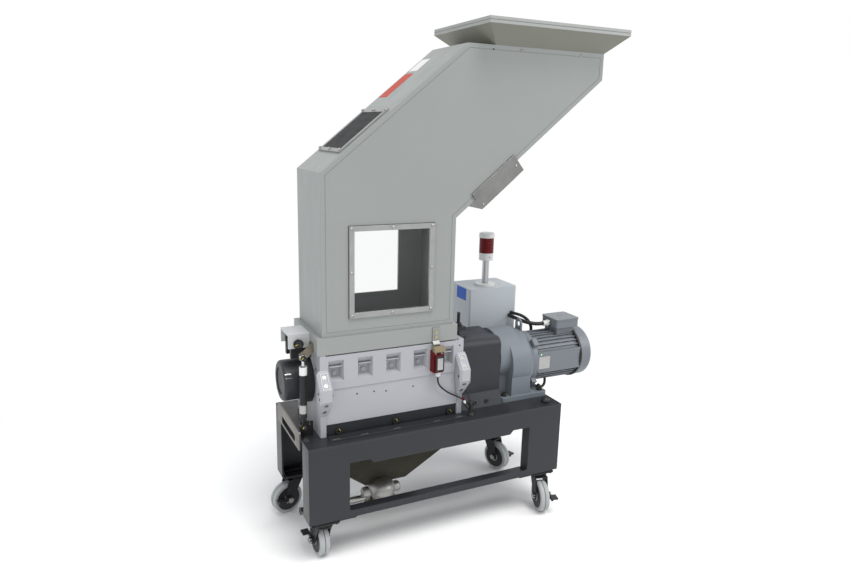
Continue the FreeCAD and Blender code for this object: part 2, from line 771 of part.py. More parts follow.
def make_gearbox():
    """Foot-mounted gearbox: output barrel, round housing swept into its foot, and lifting lug."""
    center = rotor_axis_y
    barrel_z = rotor_axis_z - output_barrel_drop
    barrel_right = gearbox_left + output_barrel_length
    house_left = gearbox_left + housing_setback
    foot_top = base_top + foot_thickness
    barrel = rod(output_barrel_radius, (gearbox_left, center, barrel_z), (barrel_right, center, barrel_z))
    barrel = barrel.makeChamfer(motor_fin_height, [e
                                                   for e in barrel.Edges if e.BoundBox.XMin > barrel_right - 1])
    neck = box(gearbox_left, house_left, center - output_neck_half_width, center + output_neck_half_width,
               foot_top, barrel_z)
    house = rod(housing_radius, (house_left, center, motor_axis_z), (housing_right, center, motor_axis_z))
    waist = box(house_left, housing_right, center - housing_half_width, center + housing_half_width,
                foot_top, motor_axis_z)
    taper = Part.makeCone(housing_radius, motor_flange_radius, housing_taper_length,
                          V(housing_right, center, motor_axis_z), V(1, 0, 0))
    foot = box(gearbox_left, gearbox_left + foot_length, center - foot_half_width, center + foot_half_width,
               base_top, foot_top)
    foot = foot.makeFillet(foot_corner, [e for e in foot.Edges if abs(e.tangentAt(e.FirstParameter).z) > 0.9])
    sweep = box(housing_right, housing_right + foot_sweep, center - housing_half_width,
                center + housing_half_width, foot_top, foot_top + foot_sweep)
    sweep = sweep.cut(rod(foot_sweep, (housing_right + foot_sweep, center - housing_half_width - 1,
                                       foot_top + foot_sweep),
                          (housing_right + foot_sweep, center + housing_half_width + 1,
                           foot_top + foot_sweep)))
    lug_x = housing_right + lift_plate_thickness
    lug_top = motor_axis_z + housing_radius - housing_taper_length + lift_plate_height
    half = lift_plate_width / 2
    lug = box(lug_x, lug_x + lift_plate_thickness, center - half, center + half, motor_axis_z, lug_top - half)
    lug = lug.fuse(rod(half, (lug_x, center, lug_top - half), (lug_x + lift_plate_thickness, center,
                                                               lug_top - half)))
    lug = lug.cut(rod(lift_hole_radius, (lug_x - 1, center, lug_top - half),
                      (lug_x + lift_plate_thickness + 1, center, lug_top - half)))
    keep("gearbox", barrel.fuse([neck, house, waist, taper, foot, sweep, lug]).removeSplitter())


def make_motor():
    """Finned motor with an eared flange and flat side panels, fan cover and terminal box."""
    center = rotor_axis_y
    axis = (center, motor_axis_z)
    fins_left = motor_left + motor_flange_thickness
    solids = [rod(motor_radius, (motor_left, *axis), (motor_right, *axis))]
    disc = rod(motor_flange_radius, (motor_left, *axis), (fins_left, *axis))
    half_ear = motor_ear_width / 2
    for turn in (45, 135):
        bar = box(motor_left, fins_left, -motor_ear_reach, motor_ear_reach, -half_ear, half_ear)
        bar.rotate(V(0, 0, 0), V(1, 0, 0), turn)
        bar.translate(V(0, *axis))
        solids.append(bar)
    for index in range(motor_fin_count):
        angle = motor_fin_first + index * motor_fin_step
        for turn in (angle, 180 - angle, 180 + angle, 360 - angle):
            fin = box(fins_left, motor_right, motor_radius - 2, motor_radius + motor_fin_height,
                      -motor_fin_thickness / 2, motor_fin_thickness / 2)
            fin.rotate(V(0, 0, 0), V(1, 0, 0), turn)
            fin.translate(V(0, *axis))
            solids.append(fin)
    solids.append(box(fins_left, motor_right, center - motor_panel_reach, center + motor_panel_reach,
                      motor_axis_z - motor_panel_half_height, motor_axis_z + motor_panel_half_height))
    inset = terminal_neck_inset
    front = center - terminal_depth / 2
    rear = center + terminal_depth / 2
    right = terminal_left + terminal_length
    solids.append(box(terminal_left + inset, min(right - inset, motor_right), front + inset, rear - inset,
                      motor_axis_z, terminal_bottom))
    keep("motor_body", disc.fuse(solids).removeSplitter())

    cover_left = motor_right + motor_seam
    cover = rod(fan_cover_radius, (cover_left, *axis), (fan_cover_right, *axis))
    cover = cover.makeFillet(fan_cover_corner, [e
                                                for e in cover.Edges if e.BoundBox.XMin > fan_cover_right - 1])
    for index in range(fan_slot_count):
        vent = box(fan_cover_right - fan_slot_depth, fan_cover_right + 1, fan_slot_inner, fan_slot_outer,
                   -fan_slot_width / 2, fan_slot_width / 2)
        vent.rotate(V(0, 0, 0), V(1, 0, 0), index * 360 / fan_slot_count)
        vent.translate(V(0, *axis))
        cover = cover.cut(vent)
    ring = rod(motor_radius + motor_fin_height / 2, (motor_right, *axis), (cover_left, *axis))
    keep("fan_cover", cover.fuse(ring).removeSplitter())

    lid_low = terminal_top - terminal_lid_height
    case = box(terminal_left, right, front, rear, terminal_bottom, lid_low)
    lid = box(terminal_left - 1, right + 1, front - 1, rear + 1, lid_low, terminal_top)
    upright = []
    for block in (case, lid):
        edges = [e for e in block.Edges if abs(e.tangentAt(e.FirstParameter).z) > 0.9]
        upright.append(block.makeFillet(terminal_corner, edges))
    keep("terminal_box", upright[0].fuse(upright[1]).removeSplitter())
    nut_left = terminal_left - gland_nut_length
    nut = rod(gland_nut_radius, (nut_left, center, gland_z), (terminal_left, center, gland_z))
    stem = rod(gland_radius, (gland_tip, center, gland_z), (nut_left, center, gland_z))
    keep("cable_gland", stem.fuse(nut).removeSplitter())


def make_cabinet():
    """Control cabinet on its stand behind the gearbox, with the signal tower on top."""
    case = box(cabinet_left, cabinet_right, cabinet_front, cabinet_rear, cabinet_bottom, cabinet_top)
    keep("control_cabinet", case.makeFillet(cabinet_edge, [e for e in case.Edges
                                                           if abs(e.tangentAt(e.FirstParameter).z) > 0.9]))
    middle = (cabinet_left + cabinet_right) / 2
    keep("cabinet_stand", box(middle - cabinet_stand_half, middle + cabinet_stand_half,
                              cabinet_front + cabinet_stand_front_inset,
                              base_depth - cabinet_stand_rear_inset, base_top, cabinet_bottom))
    low = cabinet_top + tower_foot_height
    foot = rod(tower_foot_radius, (tower_x, tower_y, cabinet_top), (tower_x, tower_y, low))
    pole = rod(tower_pole_radius, (tower_x, tower_y, low), (tower_x, tower_y, low + tower_pole_height))
    lens_bottom = low + tower_pole_height + tower_collar_height
    collar = rod(tower_radius, (tower_x, tower_y, low + tower_pole_height), (tower_x, tower_y, lens_bottom))
    lens_top = lens_bottom + tower_lens_height
    keep("tower_lens", rod(tower_radius, (tower_x, tower_y, lens_bottom), (tower_x, tower_y, lens_top)))
    cap = rod(tower_cap_radius, (tower_x, tower_y, lens_top), (tower_x, tower_y, lens_top + tower_cap_height))
    cap = cap.makeFillet(tower_cap_edge, [e for e in cap.Edges if e.BoundBox.ZMin > lens_top + 1])
    keep("tower_body", Part.makeCompound([foot.fuse([pole, collar]).removeSplitter(), cap]))


def hopper_outline():
    """The six corners of the hopper side, anticlockwise from the lower left."""
    return {"low_left": (hopper_left, hopper_bottom), "low_right": (hopper_low_right, hopper_bottom),
            "right_knee": (hopper_low_right, hopper_right_knee),
            "far_low": (hopper_far_right, hopper_chute_low), "far_top": (hopper_far_right, hopper_top),
            "top_left": (hopper_top_left, hopper_top), "left_knee": (hopper_left, hopper_left_knee)}


def inset_outline(points, distance):
    """An anticlockwise outline in X and Z moved inwards by a distance."""
    closed = list(points) + [points[0]]
    lines = [offset_line(a, b, -distance) for a, b in zip(closed, closed[1:])]
    return [crossing(lines[index - 1], lines[index]) for index in range(len(lines))]


def pane_hole(y0, y1, margin):
    """Cutter for the square sight window in a hopper side."""
    inset = pane_frame_width - margin
    return box(pane_frame_left + inset, pane_frame_right - inset, y0, y1,
               pane_frame_bottom + inset, pane_frame_top - inset)


def make_hopper():
    """Hopper sides, folded sheets, flange, windows, tray and cover."""
    c = hopper_outline()
    order = ["low_left", "low_right", "right_knee", "far_low", "far_top", "top_left", "left_knee"]
    corners = [c[key] for key in order]
    side = side_profile(corners, hopper_front, hopper_front + hopper_sheet)
    groove = [side_profile(inset_outline(corners, inset), hopper_front - 1, hopper_front + fold_line_depth)
              for inset in (fold_line_inset, fold_line_inset + fold_line_width)]
    side = side.cut(groove[0].cut(groove[1]))
    hole = pane_hole(hopper_front - 1, hopper_front + hopper_sheet + 1, 0)
    side = side.cut(hole)
    keep("hopper_front_side", side)
    middle = (hopper_front + hopper_rear) / 2
    keep("hopper_rear_side", side.mirror(V(0, middle, 0), V(0, 1, 0)))

    y0 = hopper_front + hopper_sheet
    y1 = hopper_rear - hopper_sheet
    roof_end = (tray_left - tray_mouth_inset - roof_gap, hopper_top)
    upper = folded_strip([c["low_left"], c["left_knee"], c["top_left"], roof_end], hopper_sheet)
    upper = side_profile(upper, y0, y1)
    keep("hopper_upper_sheet", upper.cut(slope_pane_cutter(y0, y1)))
    lower = folded_strip([c["far_top"], c["far_low"], c["right_knee"], c["low_right"]], hopper_sheet)
    keep("hopper_lower_sheet", side_profile(lower, y0, y1))

    flange = box(flange_left, flange_right, flange_front, flange_rear, flange_bottom, hopper_bottom)
    mouth = box(hopper_left + flange_mouth_margin, hopper_low_right - flange_mouth_margin,
                hopper_front + flange_mouth_margin, hopper_rear - flange_mouth_margin,
                flange_bottom - 1, hopper_bottom + 1)
    keep("hopper_flange", flange.cut(mouth))
    make_sight_windows(middle)
    make_slope_pane(middle)
    make_tray()
    make_cover(middle)


def make_sight_windows(middle):
    """Framed square windows in the front and rear sides."""
    y_out = hopper_front - pane_frame_thickness
    frame = box(pane_frame_left, pane_frame_right, y_out, hopper_front, pane_frame_bottom, pane_frame_top)
    frame = frame.cut(pane_hole(y_out - 1, hopper_front + 1, 0))
    frames = [frame, frame.mirror(V(0, middle, 0), V(0, 1, 0)), slope_pane_frame(middle)]
    keep("window_frames", Part.makeCompound(frames))
    pane = pane_hole(y_out + 1, y_out + 1 + pane_thickness, -pane_gap)
    keep("sight_panes", Part.makeCompound([pane, pane.mirror(V(0, middle, 0), V(0, 1, 0))]))


def slope_frame():
    """Start point, unit direction and outward normal of the upper slope, with its length."""
    c = hopper_outline()
    a = c["left_knee"]
    b = c["top_left"]
    run = math.hypot(b[0] - a[0], b[1] - a[1])
    along = ((b[0] - a[0]) / run, (b[1] - a[1]) / run)
    return a, along, (-along[1], along[0]), run


def slope_block(start, end, low, high, y0, y1):
    """A block lying on the upper slope between two distances along it and two heights over it."""
    a, along, out, run = slope_frame()
    points = []
    for distance, height in ((start, low), (end, low), (end, high), (start, high)):
        points.append((a[0] + along[0] * distance + out[0] * height,
                       a[1] + along[1] * distance + out[1] * height))
    return side_profile(points, y0, y1)


def slope_pane_cutter(y0, y1):
    """Opening in the upper slope behind its inspection pane."""
    middle = (y0 + y1) / 2
    inset = slope_frame_width
    return slope_block(slope_pane_offset + inset, slope_pane_offset + slope_pane_length - inset,
                       -hopper_sheet - 1, 1,
                       middle - slope_pane_width / 2 + inset, middle + slope_pane_width / 2 - inset)


def slope_pane_frame(middle):
    """Frame of the inspection pane on the upper slope."""
    start = slope_pane_offset
    end = slope_pane_offset + slope_pane_length
    y0 = middle - slope_pane_width / 2
    y1 = middle + slope_pane_width / 2
    inset = slope_frame_width
    frame = slope_block(start, end, 0, slope_frame_thickness, y0, y1)
    return frame.cut(slope_block(start + inset, end - inset, -1, slope_frame_thickness + 1,
                                 y0 + inset, y1 - inset))


def make_slope_pane(middle):
    """Dark pane in the frame on the upper slope."""
    inset = slope_frame_width + pane_gap
    half = slope_pane_width / 2 - inset
    keep("slope_pane", slope_block(slope_pane_offset + inset,
                                   slope_pane_offset + slope_pane_length - inset, 0.5,
                                   0.5 + pane_thickness, middle - half, middle + half))


def ring_wire(x0, x1, y0, y1, z):
    """A rectangle at one height."""
    return Part.makePolygon([V(x0, y0, z), V(x1, y0, z), V(x1, y1, z), V(x0, y1, z), V(x0, y0, z)])


def make_tray():
    """Feed tray: a flared four-sided funnel with an upright rim."""
    t = tray_sheet
    x0 = tray_left
    x1 = hopper_far_right
    outer = Part.makeLoft([ring_wire(x0, x1, hopper_front, hopper_rear, hopper_top),
                           ring_wire(tray_rim_left, tray_rim_right, tray_rim_front, tray_rim_rear,
                                     tray_rim_bottom)], True, True)
    inner = Part.makeLoft([ring_wire(x0 + t, x1 - t, hopper_front + t, hopper_rear - t, hopper_top),
                           ring_wire(tray_rim_left + t, tray_rim_right - t, tray_rim_front + t,
                                     tray_rim_rear - t, tray_rim_bottom)], True, True)
    rim = box(tray_rim_left, tray_rim_right, tray_rim_front, tray_rim_rear, tray_rim_bottom, tray_rim_top)
    rim = rim.cut(box(tray_rim_left + t, tray_rim_right - t, tray_rim_front + t, tray_rim_rear - t,
                      tray_rim_bottom - 1, tray_rim_top + 1))
    keep("feed_tray", outer.cut(inner).fuse(rim).removeSplitter())


def make_cover(middle):
    """Box cover on the underside of the lower slope."""
    c = hopper_outline()
    a = c["right_knee"]
    b = c["far_low"]
    run = math.hypot(b[0] - a[0], b[1] - a[1])
    along = ((b[0] - a[0]) / run, (b[1] - a[1]) / run)
    out = (along[1], -along[0])

    def block(start, end, low, high, y0, y1):
        points = []
        for distance, height in ((start, low), (end, low), (end, high), (start, high)):
            points.append((a[0] + along[0] * distance + out[0] * height,
                           a[1] + along[1] * distance + out[1] * height))
        return side_profile(points, y0, y1)

    start = cover_offset
    end = cover_offset + cover_length
    t = cover_flap_thickness
    body = block(start, end, 0, cover_depth, hopper_front - t, hopper_rear + t)
    flaps = [block(start, end, -cover_flap_height, 0, y0, y0 + t) for y0 in (hopper_front - t, hopper_rear)]
    lip = block(start + cover_lip_inset, end - cover_lip_trim, cover_depth, cover_depth + cover_lip_depth,
                hopper_front + cover_lip_inset, hopper_rear - cover_lip_inset)
    body = body.fuse(flaps + [lip]).removeSplitter()
    outer = [e for e in body.Edges if e.BoundBox.YLength < 0.1 and abs(e.Length - cover_length) < 1
             and (e.BoundBox.YMin < hopper_front - t + 0.1 or e.BoundBox.YMin > hopper_rear + t - 0.1)]
    keep("slope_cover", body.makeChamfer(cover_edge, outer) if outer else body)


def make_hinge():
    """Channel on the hopper, lugs on the chamber and the bolt through both."""
    y0 = hinge_y - channel_width / 2
    y1 = hinge_y + channel_width / 2
    t = channel_thickness
    channel = box(channel_left, flange_left, y0, y1, hopper_bottom - t, hopper_bottom)
    for start in (y0, y1 - t):
        channel = channel.fuse(box(channel_left, flange_left, start, start + t, channel_bottom,
                                   hopper_bottom))
    channel = channel.cut(rod(hinge_bolt_radius, (hinge_x, y0 - 1, hinge_z), (hinge_x, y1 + 1, hinge_z)))
    bolt = rod(hinge_bolt_radius, (hinge_x, y0 - hinge_head_height, hinge_z),
               (hinge_x, y1 + hinge_head_height, hinge_z))
    heads = [rod(hinge_head_radius, (hinge_x, y0 - hinge_head_height, hinge_z), (hinge_x, y0, hinge_z)),
             rod(hinge_head_radius, (hinge_x, y1, hinge_z), (hinge_x, y1 + hinge_head_height, hinge_z))]
    keep("hinge_channel", channel.removeSplitter())
    keep("hinge_bolt", bolt.fuse(heads).removeSplitter())

    lugs = []
    for low in (y0 + t + hinge_lug_gap, y1 - t - hinge_lug_gap - hinge_lug_thickness):
        high = low + hinge_lug_thickness
        eye = rod(hinge_lug_radius, (hinge_x, low, hinge_z), (hinge_x, high, hinge_z))
        arm_top = chamber_top - hinge_lug_step
        arm_bottom = rotor_axis_z + bearing_flange_radius + hinge_lug_step
        arm = side_profile([(hinge_x - hinge_lug_radius, hinge_z), (hinge_x - hinge_lug_radius, arm_bottom),
                            (chamber_left, arm_bottom), (chamber_left, arm_top),
                            (hinge_x + hinge_lug_radius, arm_top), (hinge_x + hinge_lug_radius, hinge_z)],
                           low, high)
        lug = arm.fuse(eye)
        lugs.append(lug.cut(rod(hinge_bolt_radius + hinge_bolt_clearance, (hinge_x, low - 1, hinge_z),
                                (hinge_x, high + 1, hinge_z))).removeSplitter())
    keep("chamber_lugs", Part.makeCompound(lugs + [make_latch()]))


def make_strut():
    """Gas strut between a bracket on the base and a bracket on the hopper flange."""
    lower = V(strut_lower_x, strut_y, strut_lower_z)
    upper = V(strut_upper_x, strut_y, strut_upper_z)
    length = (upper - lower).Length
    axis = (upper - lower).normalize()
    body_top = length - strut_rod_exposed
    half = strut_eye_width / 2
    pin_hole = strut_pin_radius + strut_pin_clearance

    def eye(point):
        return rod(strut_eye_radius, (point.x, strut_y - half, point.z), (point.x, strut_y + half, point.z))

    def hole(point):
        return rod(pin_hole, (point.x, strut_y - half - 1, point.z), (point.x, strut_y + half + 1, point.z))

    neck = Part.makeCylinder(strut_pin_radius, strut_body_bottom, lower, axis)
    body = Part.makeCylinder(strut_body_radius, body_top - strut_body_bottom,
                             lower + axis * strut_body_bottom, axis)
    bore = Part.makeCylinder(strut_bore_radius, body_top,
                             lower + axis * (strut_body_bottom + strut_end_wall), axis)
    keep("strut_cylinder", body.cut(bore).fuse([neck, eye(lower)]).cut(hole(lower)).removeSplitter())
    bar = Part.makeCylinder(strut_rod_radius, strut_rod_length,
                            lower + axis * (length - strut_rod_length), axis)
    keep("strut_rod", bar.fuse(eye(upper)).cut(hole(upper)).removeSplitter())

    t = strut_bracket_thickness
    back = strut_y + half + strut_bracket_gap
    left = strut_lower_x - strut_eye_radius
    right = left + strut_bracket_length
    plate = box(left, right, back, back + t, base_top, strut_lower_z + strut_eye_radius)
    foot = box(left, right, back, back + strut_bracket_depth, base_top, base_top + t)
    pin_front = strut_y - half - strut_nut_gap - strut_nut_height
    nut_rear = pin_front + strut_nut_height
    pin = rod(strut_pin_radius, (lower.x, pin_front, lower.z), (lower.x, back + t, lower.z))
    nut = rod(strut_nut_radius, (lower.x, pin_front, lower.z), (lower.x, nut_rear, lower.z))
    keep("strut_base_bracket", plate.fuse([foot, pin, nut]).removeSplitter())
    arm_low = strut_upper_z - strut_eye_radius
    arm_left = strut_upper_x - strut_eye_radius
    seat_low = flange_bottom + strut_seat_rise
    plate = side_profile([(arm_left, arm_low), (strut_upper_x + strut_eye_radius, arm_low), (flange_left,
                                                                                             seat_low),
                          (flange_left, seat_low + strut_seat_height), (flange_left - t,
                                                                        seat_low + strut_seat_height),
                          (arm_left, strut_upper_z + strut_eye_radius)], back, back + t)
    cap = box(flange_left - t, flange_left, back, back + strut_bracket_depth, seat_low,
              seat_low + strut_seat_height)
    pin = rod(strut_pin_radius, (upper.x, pin_front, upper.z), (upper.x, back + t, upper.z))
    nut = rod(strut_nut_radius, (upper.x, pin_front, upper.z), (upper.x, nut_rear, upper.z))
    keep("strut_hopper_bracket", plate.fuse([cap, pin, nut]).removeSplitter())


def make_latch():
    """Captive bolt through a lug on the hopper flange into a lug on the right end plate."""
    half = latch_lug_width / 2
    lug_low = flange_bottom + latch_lug_rise
    lug_high = lug_low + latch_lug_thickness
    top_lug = box(flange_right, latch_x + half, latch_y - half, latch_y + half, lug_low, lug_high)
    bolt = rod(latch_radius, (latch_x, latch_y, latch_bottom), (latch_x, latch_y, latch_top))
    nut = rod(latch_nut_radius, (latch_x, latch_y, lug_high), (latch_x, latch_y, lug_high + latch_nut_height))
    keep("latch_bolt", top_lug.fuse([bolt, nut]).removeSplitter())
    seat = chamber_top - latch_lug_drop
    low_lug = box(chamber_right, latch_x + half, latch_y - half, latch_y + half,
                  seat - latch_lug_thickness, seat)
    hole = rod(latch_radius + latch_clearance, (latch_x, latch_y, seat - latch_lug_thickness - 1),
               (latch_x, latch_y, seat + 1))
    return low_lug.cut(hole)


def make_switch():
    """Safety switch on the front wall and its actuator tongue on the flange."""
    front = chamber_front - switch_depth
    body = box(switch_left, switch_left + switch_width, front, chamber_front, switch_bottom,
               switch_bottom + switch_height)
    margin = switch_cover_margin
    cover = box(switch_left + margin, switch_left + switch_width - margin, front - switch_cover_depth, front,
                switch_bottom + margin, switch_bottom + switch_height - margin * 2)
    gland = rod(switch_gland_radius, (switch_gland_x, switch_gland_y, switch_bottom - switch_gland_length),
                (switch_gland_x, switch_gland_y, switch_bottom))
    keep("safety_switch", body.fuse([cover, gland]).removeSplitter())
    t = actuator_thickness
    step_top = flange_bottom + t
    step_low = step_top - actuator_step
    tongue_end = switch_bottom + switch_height + actuator_gap
    outline = [(flange_front, actuator_top), (flange_front, step_top), (flange_front - actuator_step,
                                                                        step_low),
               (flange_front - actuator_step, tongue_end), (flange_front - actuator_step - t, tongue_end),
               (flange_front - actuator_step - t, step_low + t * 0.4), (flange_front - t, step_top + t * 0.4),
               (flange_front - t, actuator_top)]
    keep("switch_actuator", end_profile(outline, actuator_x - actuator_width / 2,
                                        actuator_x + actuator_width / 2))


def make_outlet():
    """Regrind funnel under the chamber, its outlet housing and the suction pipe."""
    t = funnel_sheet
    top = base_top - base_sheet
    half_x = funnel_mouth_half_length
    half_y = funnel_mouth_half_depth
    cx = funnel_center_x
    cy = rotor_axis_y

    def funnel(wall):
        skirt = box(funnel_left + wall, funnel_right - wall, funnel_front + wall, funnel_rear - wall,
                    funnel_knee, top)
        bowl = Part.makeLoft([ring_wire(cx - half_x + wall, cx + half_x - wall, cy - half_y + wall,
                                        cy + half_y - wall, funnel_bottom),
                              ring_wire(funnel_left + wall, funnel_right - wall, funnel_front + wall,
                                        funnel_rear - wall, funnel_knee)], True, True)
        return skirt.fuse(bowl).removeSplitter()

    keep("regrind_funnel", funnel(0).cut(funnel(t)))
    z = outlet_height
    shell = Part.Wire([Part.Arc(V(cx - outlet_half_length, cy, z + outlet_end_radius), V(cx, cy,
                                                                                         z + outlet_radius),
                                V(cx + outlet_half_length, cy, z + outlet_end_radius)).toShape(),
                       Part.makeLine(V(cx + outlet_half_length, cy, z + outlet_end_radius),
                                     V(cx + outlet_half_length, cy, z)),
                       Part.makeLine(V(cx + outlet_half_length, cy, z), V(cx - outlet_half_length, cy, z)),
                       Part.makeLine(V(cx - outlet_half_length, cy, z),
                                     V(cx - outlet_half_length, cy, z + outlet_end_radius))])
    housing = Part.Face(shell).revolve(V(cx, cy, z), V(1, 0, 0), 360)
    knob_end = outlet_half_length + outlet_knob_length
    knobs = rod(outlet_knob_radius, (cx - knob_end, cy, z), (cx + knob_end, cy, z))
    knobs = knobs.makeFillet(outlet_knob_radius * 0.4, [e for e in knobs.Edges if e.BoundBox.XLength < 1])
    neck_low = funnel_bottom - outlet_neck_height
    neck = Part.makeLoft([ring_wire(cx - outlet_neck_half_length, cx + outlet_neck_half_length,
                                    cy - outlet_neck_half_depth, cy + outlet_neck_half_depth, neck_low),
                          ring_wire(cx - half_x, cx + half_x, cy - half_y, cy + half_y,
                                    funnel_bottom - outlet_neck_gap)], True, True)
    pan = box(cx - outlet_pan_half_length, cx + outlet_pan_half_length, cy - outlet_pan_half_depth,
              cy + outlet_pan_half_depth, z - outlet_pan_drop, z)
    keep("outlet_housing", housing.fuse([knobs, neck, pan]).removeSplitter())
    pipe = rod(suction_radius, (suction_left, cy, suction_z), (suction_right, cy, suction_z))
    bore = rod(suction_radius - suction_wall, (suction_left - 1, cy, suction_z), (suction_right - 10, cy,
                                                                                  suction_z))
    keep("suction_pipe", pipe.cut(bore))


def cable(points, radius):
    """A tube along straight runs joined by tangent arcs, and the radii of its arcs."""
    pts = [V(*p) for p in points]
    edges = []
    radii = []
    start = pts[0]
    for before, here, after in zip(pts, pts[1:], pts[2:]):
        into = (here - before).normalize()
        away = (after - here).normalize()
        turn = into.getAngle(away)
        reach = 0.45 * min((here - before).Length, (after - here).Length)
        radii.append(reach / math.tan(turn / 2))
        first = here - into * reach
        last = here + away * reach
        bisector = (away - into).normalize()
        center = here + bisector * (radii[-1] / math.cos(turn / 2))
        middle = center - bisector * radii[-1]
        edges.append(Part.LineSegment(start, first).toShape())
        edges.append(Part.Arc(first, middle, last).toShape())
        start = last
    edges.append(Part.LineSegment(start, pts[-1]).toShape())
    path = Part.Wire(edges)
    ring = Part.Wire([Part.Circle(pts[0], (pts[1] - pts[0]).normalize(), radius).toShape()])
    tube = path.makePipeShell([ring], True, True)
    ideal = math.pi * radius ** 2 * path.Length
    print("cable: length %.0f, arc radii %s, volume ratio %.4f"
          % (path.Length, ["%.0f" % r for r in radii], tube.Volume / ideal))
    return tube


def make_cables():
    """Motor cable from behind the cabinet to the gland, and the switch cable."""
    x0 = cabinet_right - motor_cable_inset
    y0 = cabinet_front
    run_x = gland_tip - x0
    run_y = y0 - rotor_axis_y
    low = gland_z
    points = [(x0, y0, low + motor_cable_rise), (x0, y0 - motor_cable_lead, low + motor_cable_rise)]
    for share_x, share_y, rise in motor_cable_way:
        points.append((x0 + run_x * share_x, rotor_axis_y + run_y * share_y, low + rise))
    points.append((gland_tip, rotor_axis_y, low))
    keep("motor_cable", cable(points, motor_cable_radius))

    start = switch_bottom - switch_gland_length
    end_x = chamber_right + switch_cable_drop_reach
    end_y = chamber_front - switch_cable_drop_setback
    run_x = end_x - switch_gland_x
    fall = start - base_top
    points = [(switch_gland_x, switch_gland_y, start)]
    for share_x, step_y, share_z in switch_cable_way:
        points.append((switch_gland_x + run_x * share_x, switch_gland_y + step_y, start - fall * share_z))
    points += [(end_x, end_y, start - fall * switch_cable_landing), (end_x, end_y, base_top)]
    keep("switch_cable", cable(points, switch_cable_radius))


cord_names = ("motor_cable", "switch_cable")
make_base()
make_casters()
make_chamber()
make_bearing()
make_guard()
make_gearbox()
make_motor()
make_cabinet()
make_hopper()
make_hinge()
make_strut()
make_switch()
make_outlet()
make_cables()

# The part's origin is on the floor under the middle of the whole machine
bounds = FreeCAD.BoundBox()
for name, shape in shapes.items():
    if name not in cord_names:
        bounds.add(shape.optimalBoundingBox(False, False))
origin = V(bounds.Center.x, bounds.Center.y, bounds.ZMin)
print("origin %.3f %.3f %.3f, size %.1f %.1f %.1f"
      % (origin.x, origin.y, origin.z, bounds.XLength, bounds.YLength, bounds.ZLength))

os.makedirs("parts", exist_ok=True)
for name, shape in shapes.items():
    moved = shape.copy()
    moved.translate(V(-origin.x, -origin.y, -origin.z))
    moved.exportStep("parts/%s.step" % name)
print("%d sub-parts" % len(shapes))
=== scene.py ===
import math

import bmesh
import bpy
from mathutils import Matrix, Vector


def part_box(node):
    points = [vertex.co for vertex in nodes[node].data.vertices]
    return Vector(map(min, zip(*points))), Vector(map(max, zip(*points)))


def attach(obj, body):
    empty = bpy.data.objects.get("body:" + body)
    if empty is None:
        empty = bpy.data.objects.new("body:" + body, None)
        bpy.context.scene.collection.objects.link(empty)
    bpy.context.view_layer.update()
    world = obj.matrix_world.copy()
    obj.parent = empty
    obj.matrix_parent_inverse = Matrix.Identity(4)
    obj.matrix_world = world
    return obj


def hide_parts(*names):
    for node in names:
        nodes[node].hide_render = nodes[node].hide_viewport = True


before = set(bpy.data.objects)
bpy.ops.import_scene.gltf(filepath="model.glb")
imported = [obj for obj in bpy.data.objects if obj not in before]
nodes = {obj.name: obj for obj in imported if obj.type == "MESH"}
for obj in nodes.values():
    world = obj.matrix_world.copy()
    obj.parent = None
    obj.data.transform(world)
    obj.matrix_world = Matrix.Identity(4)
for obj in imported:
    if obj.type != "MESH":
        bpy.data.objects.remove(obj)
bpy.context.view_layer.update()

print("frame loaded:", len(nodes), "solids")

# Drawing millimetres count from the left front corner of the base, at floor height
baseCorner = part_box("base_front_panel")[0]


def at(x, y, z):
    return Vector((baseCorner[0] + x / 1000, baseCorner[1] + y / 1000, z / 1000))


# Camera at the photograph's angle
viewer = {"spot": (-477.15, -1673.14, 1227.75), "yaw": 26.13, "pitch": -12.72, "roll": 1.3, "lens": 28.83}


def makeCamera():
    yaw, pitch, roll = (math.radians(viewer[k]) for k in ("yaw", "pitch", "roll"))
    ahead = Vector((math.sin(yaw) * math.cos(pitch), math.cos(yaw) * math.cos(pitch), math.sin(pitch)))
    side = Vector((math.cos(yaw), -math.sin(yaw), 0))
    over = side.cross(ahead)
    right = side * math.cos(roll) + over * math.sin(roll)
    up = over * math.cos(roll) - side * math.sin(roll)
    data = bpy.data.cameras.new("camera")
    data.lens, data.sensor_width, data.sensor_fit = viewer["lens"], 36, "HORIZONTAL"
    camera = bpy.data.objects.new("camera", data)
    bpy.context.scene.collection.objects.link(camera)
    camera.matrix_world = Matrix.LocRotScale(at(*viewer["spot"]), Matrix((right, up, -ahead)).transposed(),
                                             None)
    bpy.context.scene.camera = camera
    bpy.context.scene.view_settings.view_transform = "Standard"


makeCamera()
print("camera placed")


# Shader wiring: a Wire is an output socket that can stand in a sum
class Wire:
    def __init__(self, paint, socket):
        self.paint, self.socket = paint, socket

    def math(self, kind, *terms):
        return self.paint.add("Math", {"operation": kind}, dict(enumerate(terms or (self,))))

    def __add__(self, other): return self.math("ADD", self, other)
    def __radd__(self, other): return self.math("ADD", other, self)
    def __sub__(self, other): return self.math("SUBTRACT", self, other)
    def __rsub__(self, other): return self.math("SUBTRACT", other, self)
    def __mul__(self, other): return self.math("MULTIPLY", self, other)
    def __rmul__(self, other): return self.math("MULTIPLY", other, self)
    def __truediv__(self, other): return self.math("DIVIDE", self, other)
    def __rtruediv__(self, other): return self.math("DIVIDE", other, self)
    def __pow__(self, other): return self.math("POWER", self, other)
    def __gt__(self, other): return self.math("GREATER_THAN", self, other)
    def __lt__(self, other): return self.math("LESS_THAN", self, other)


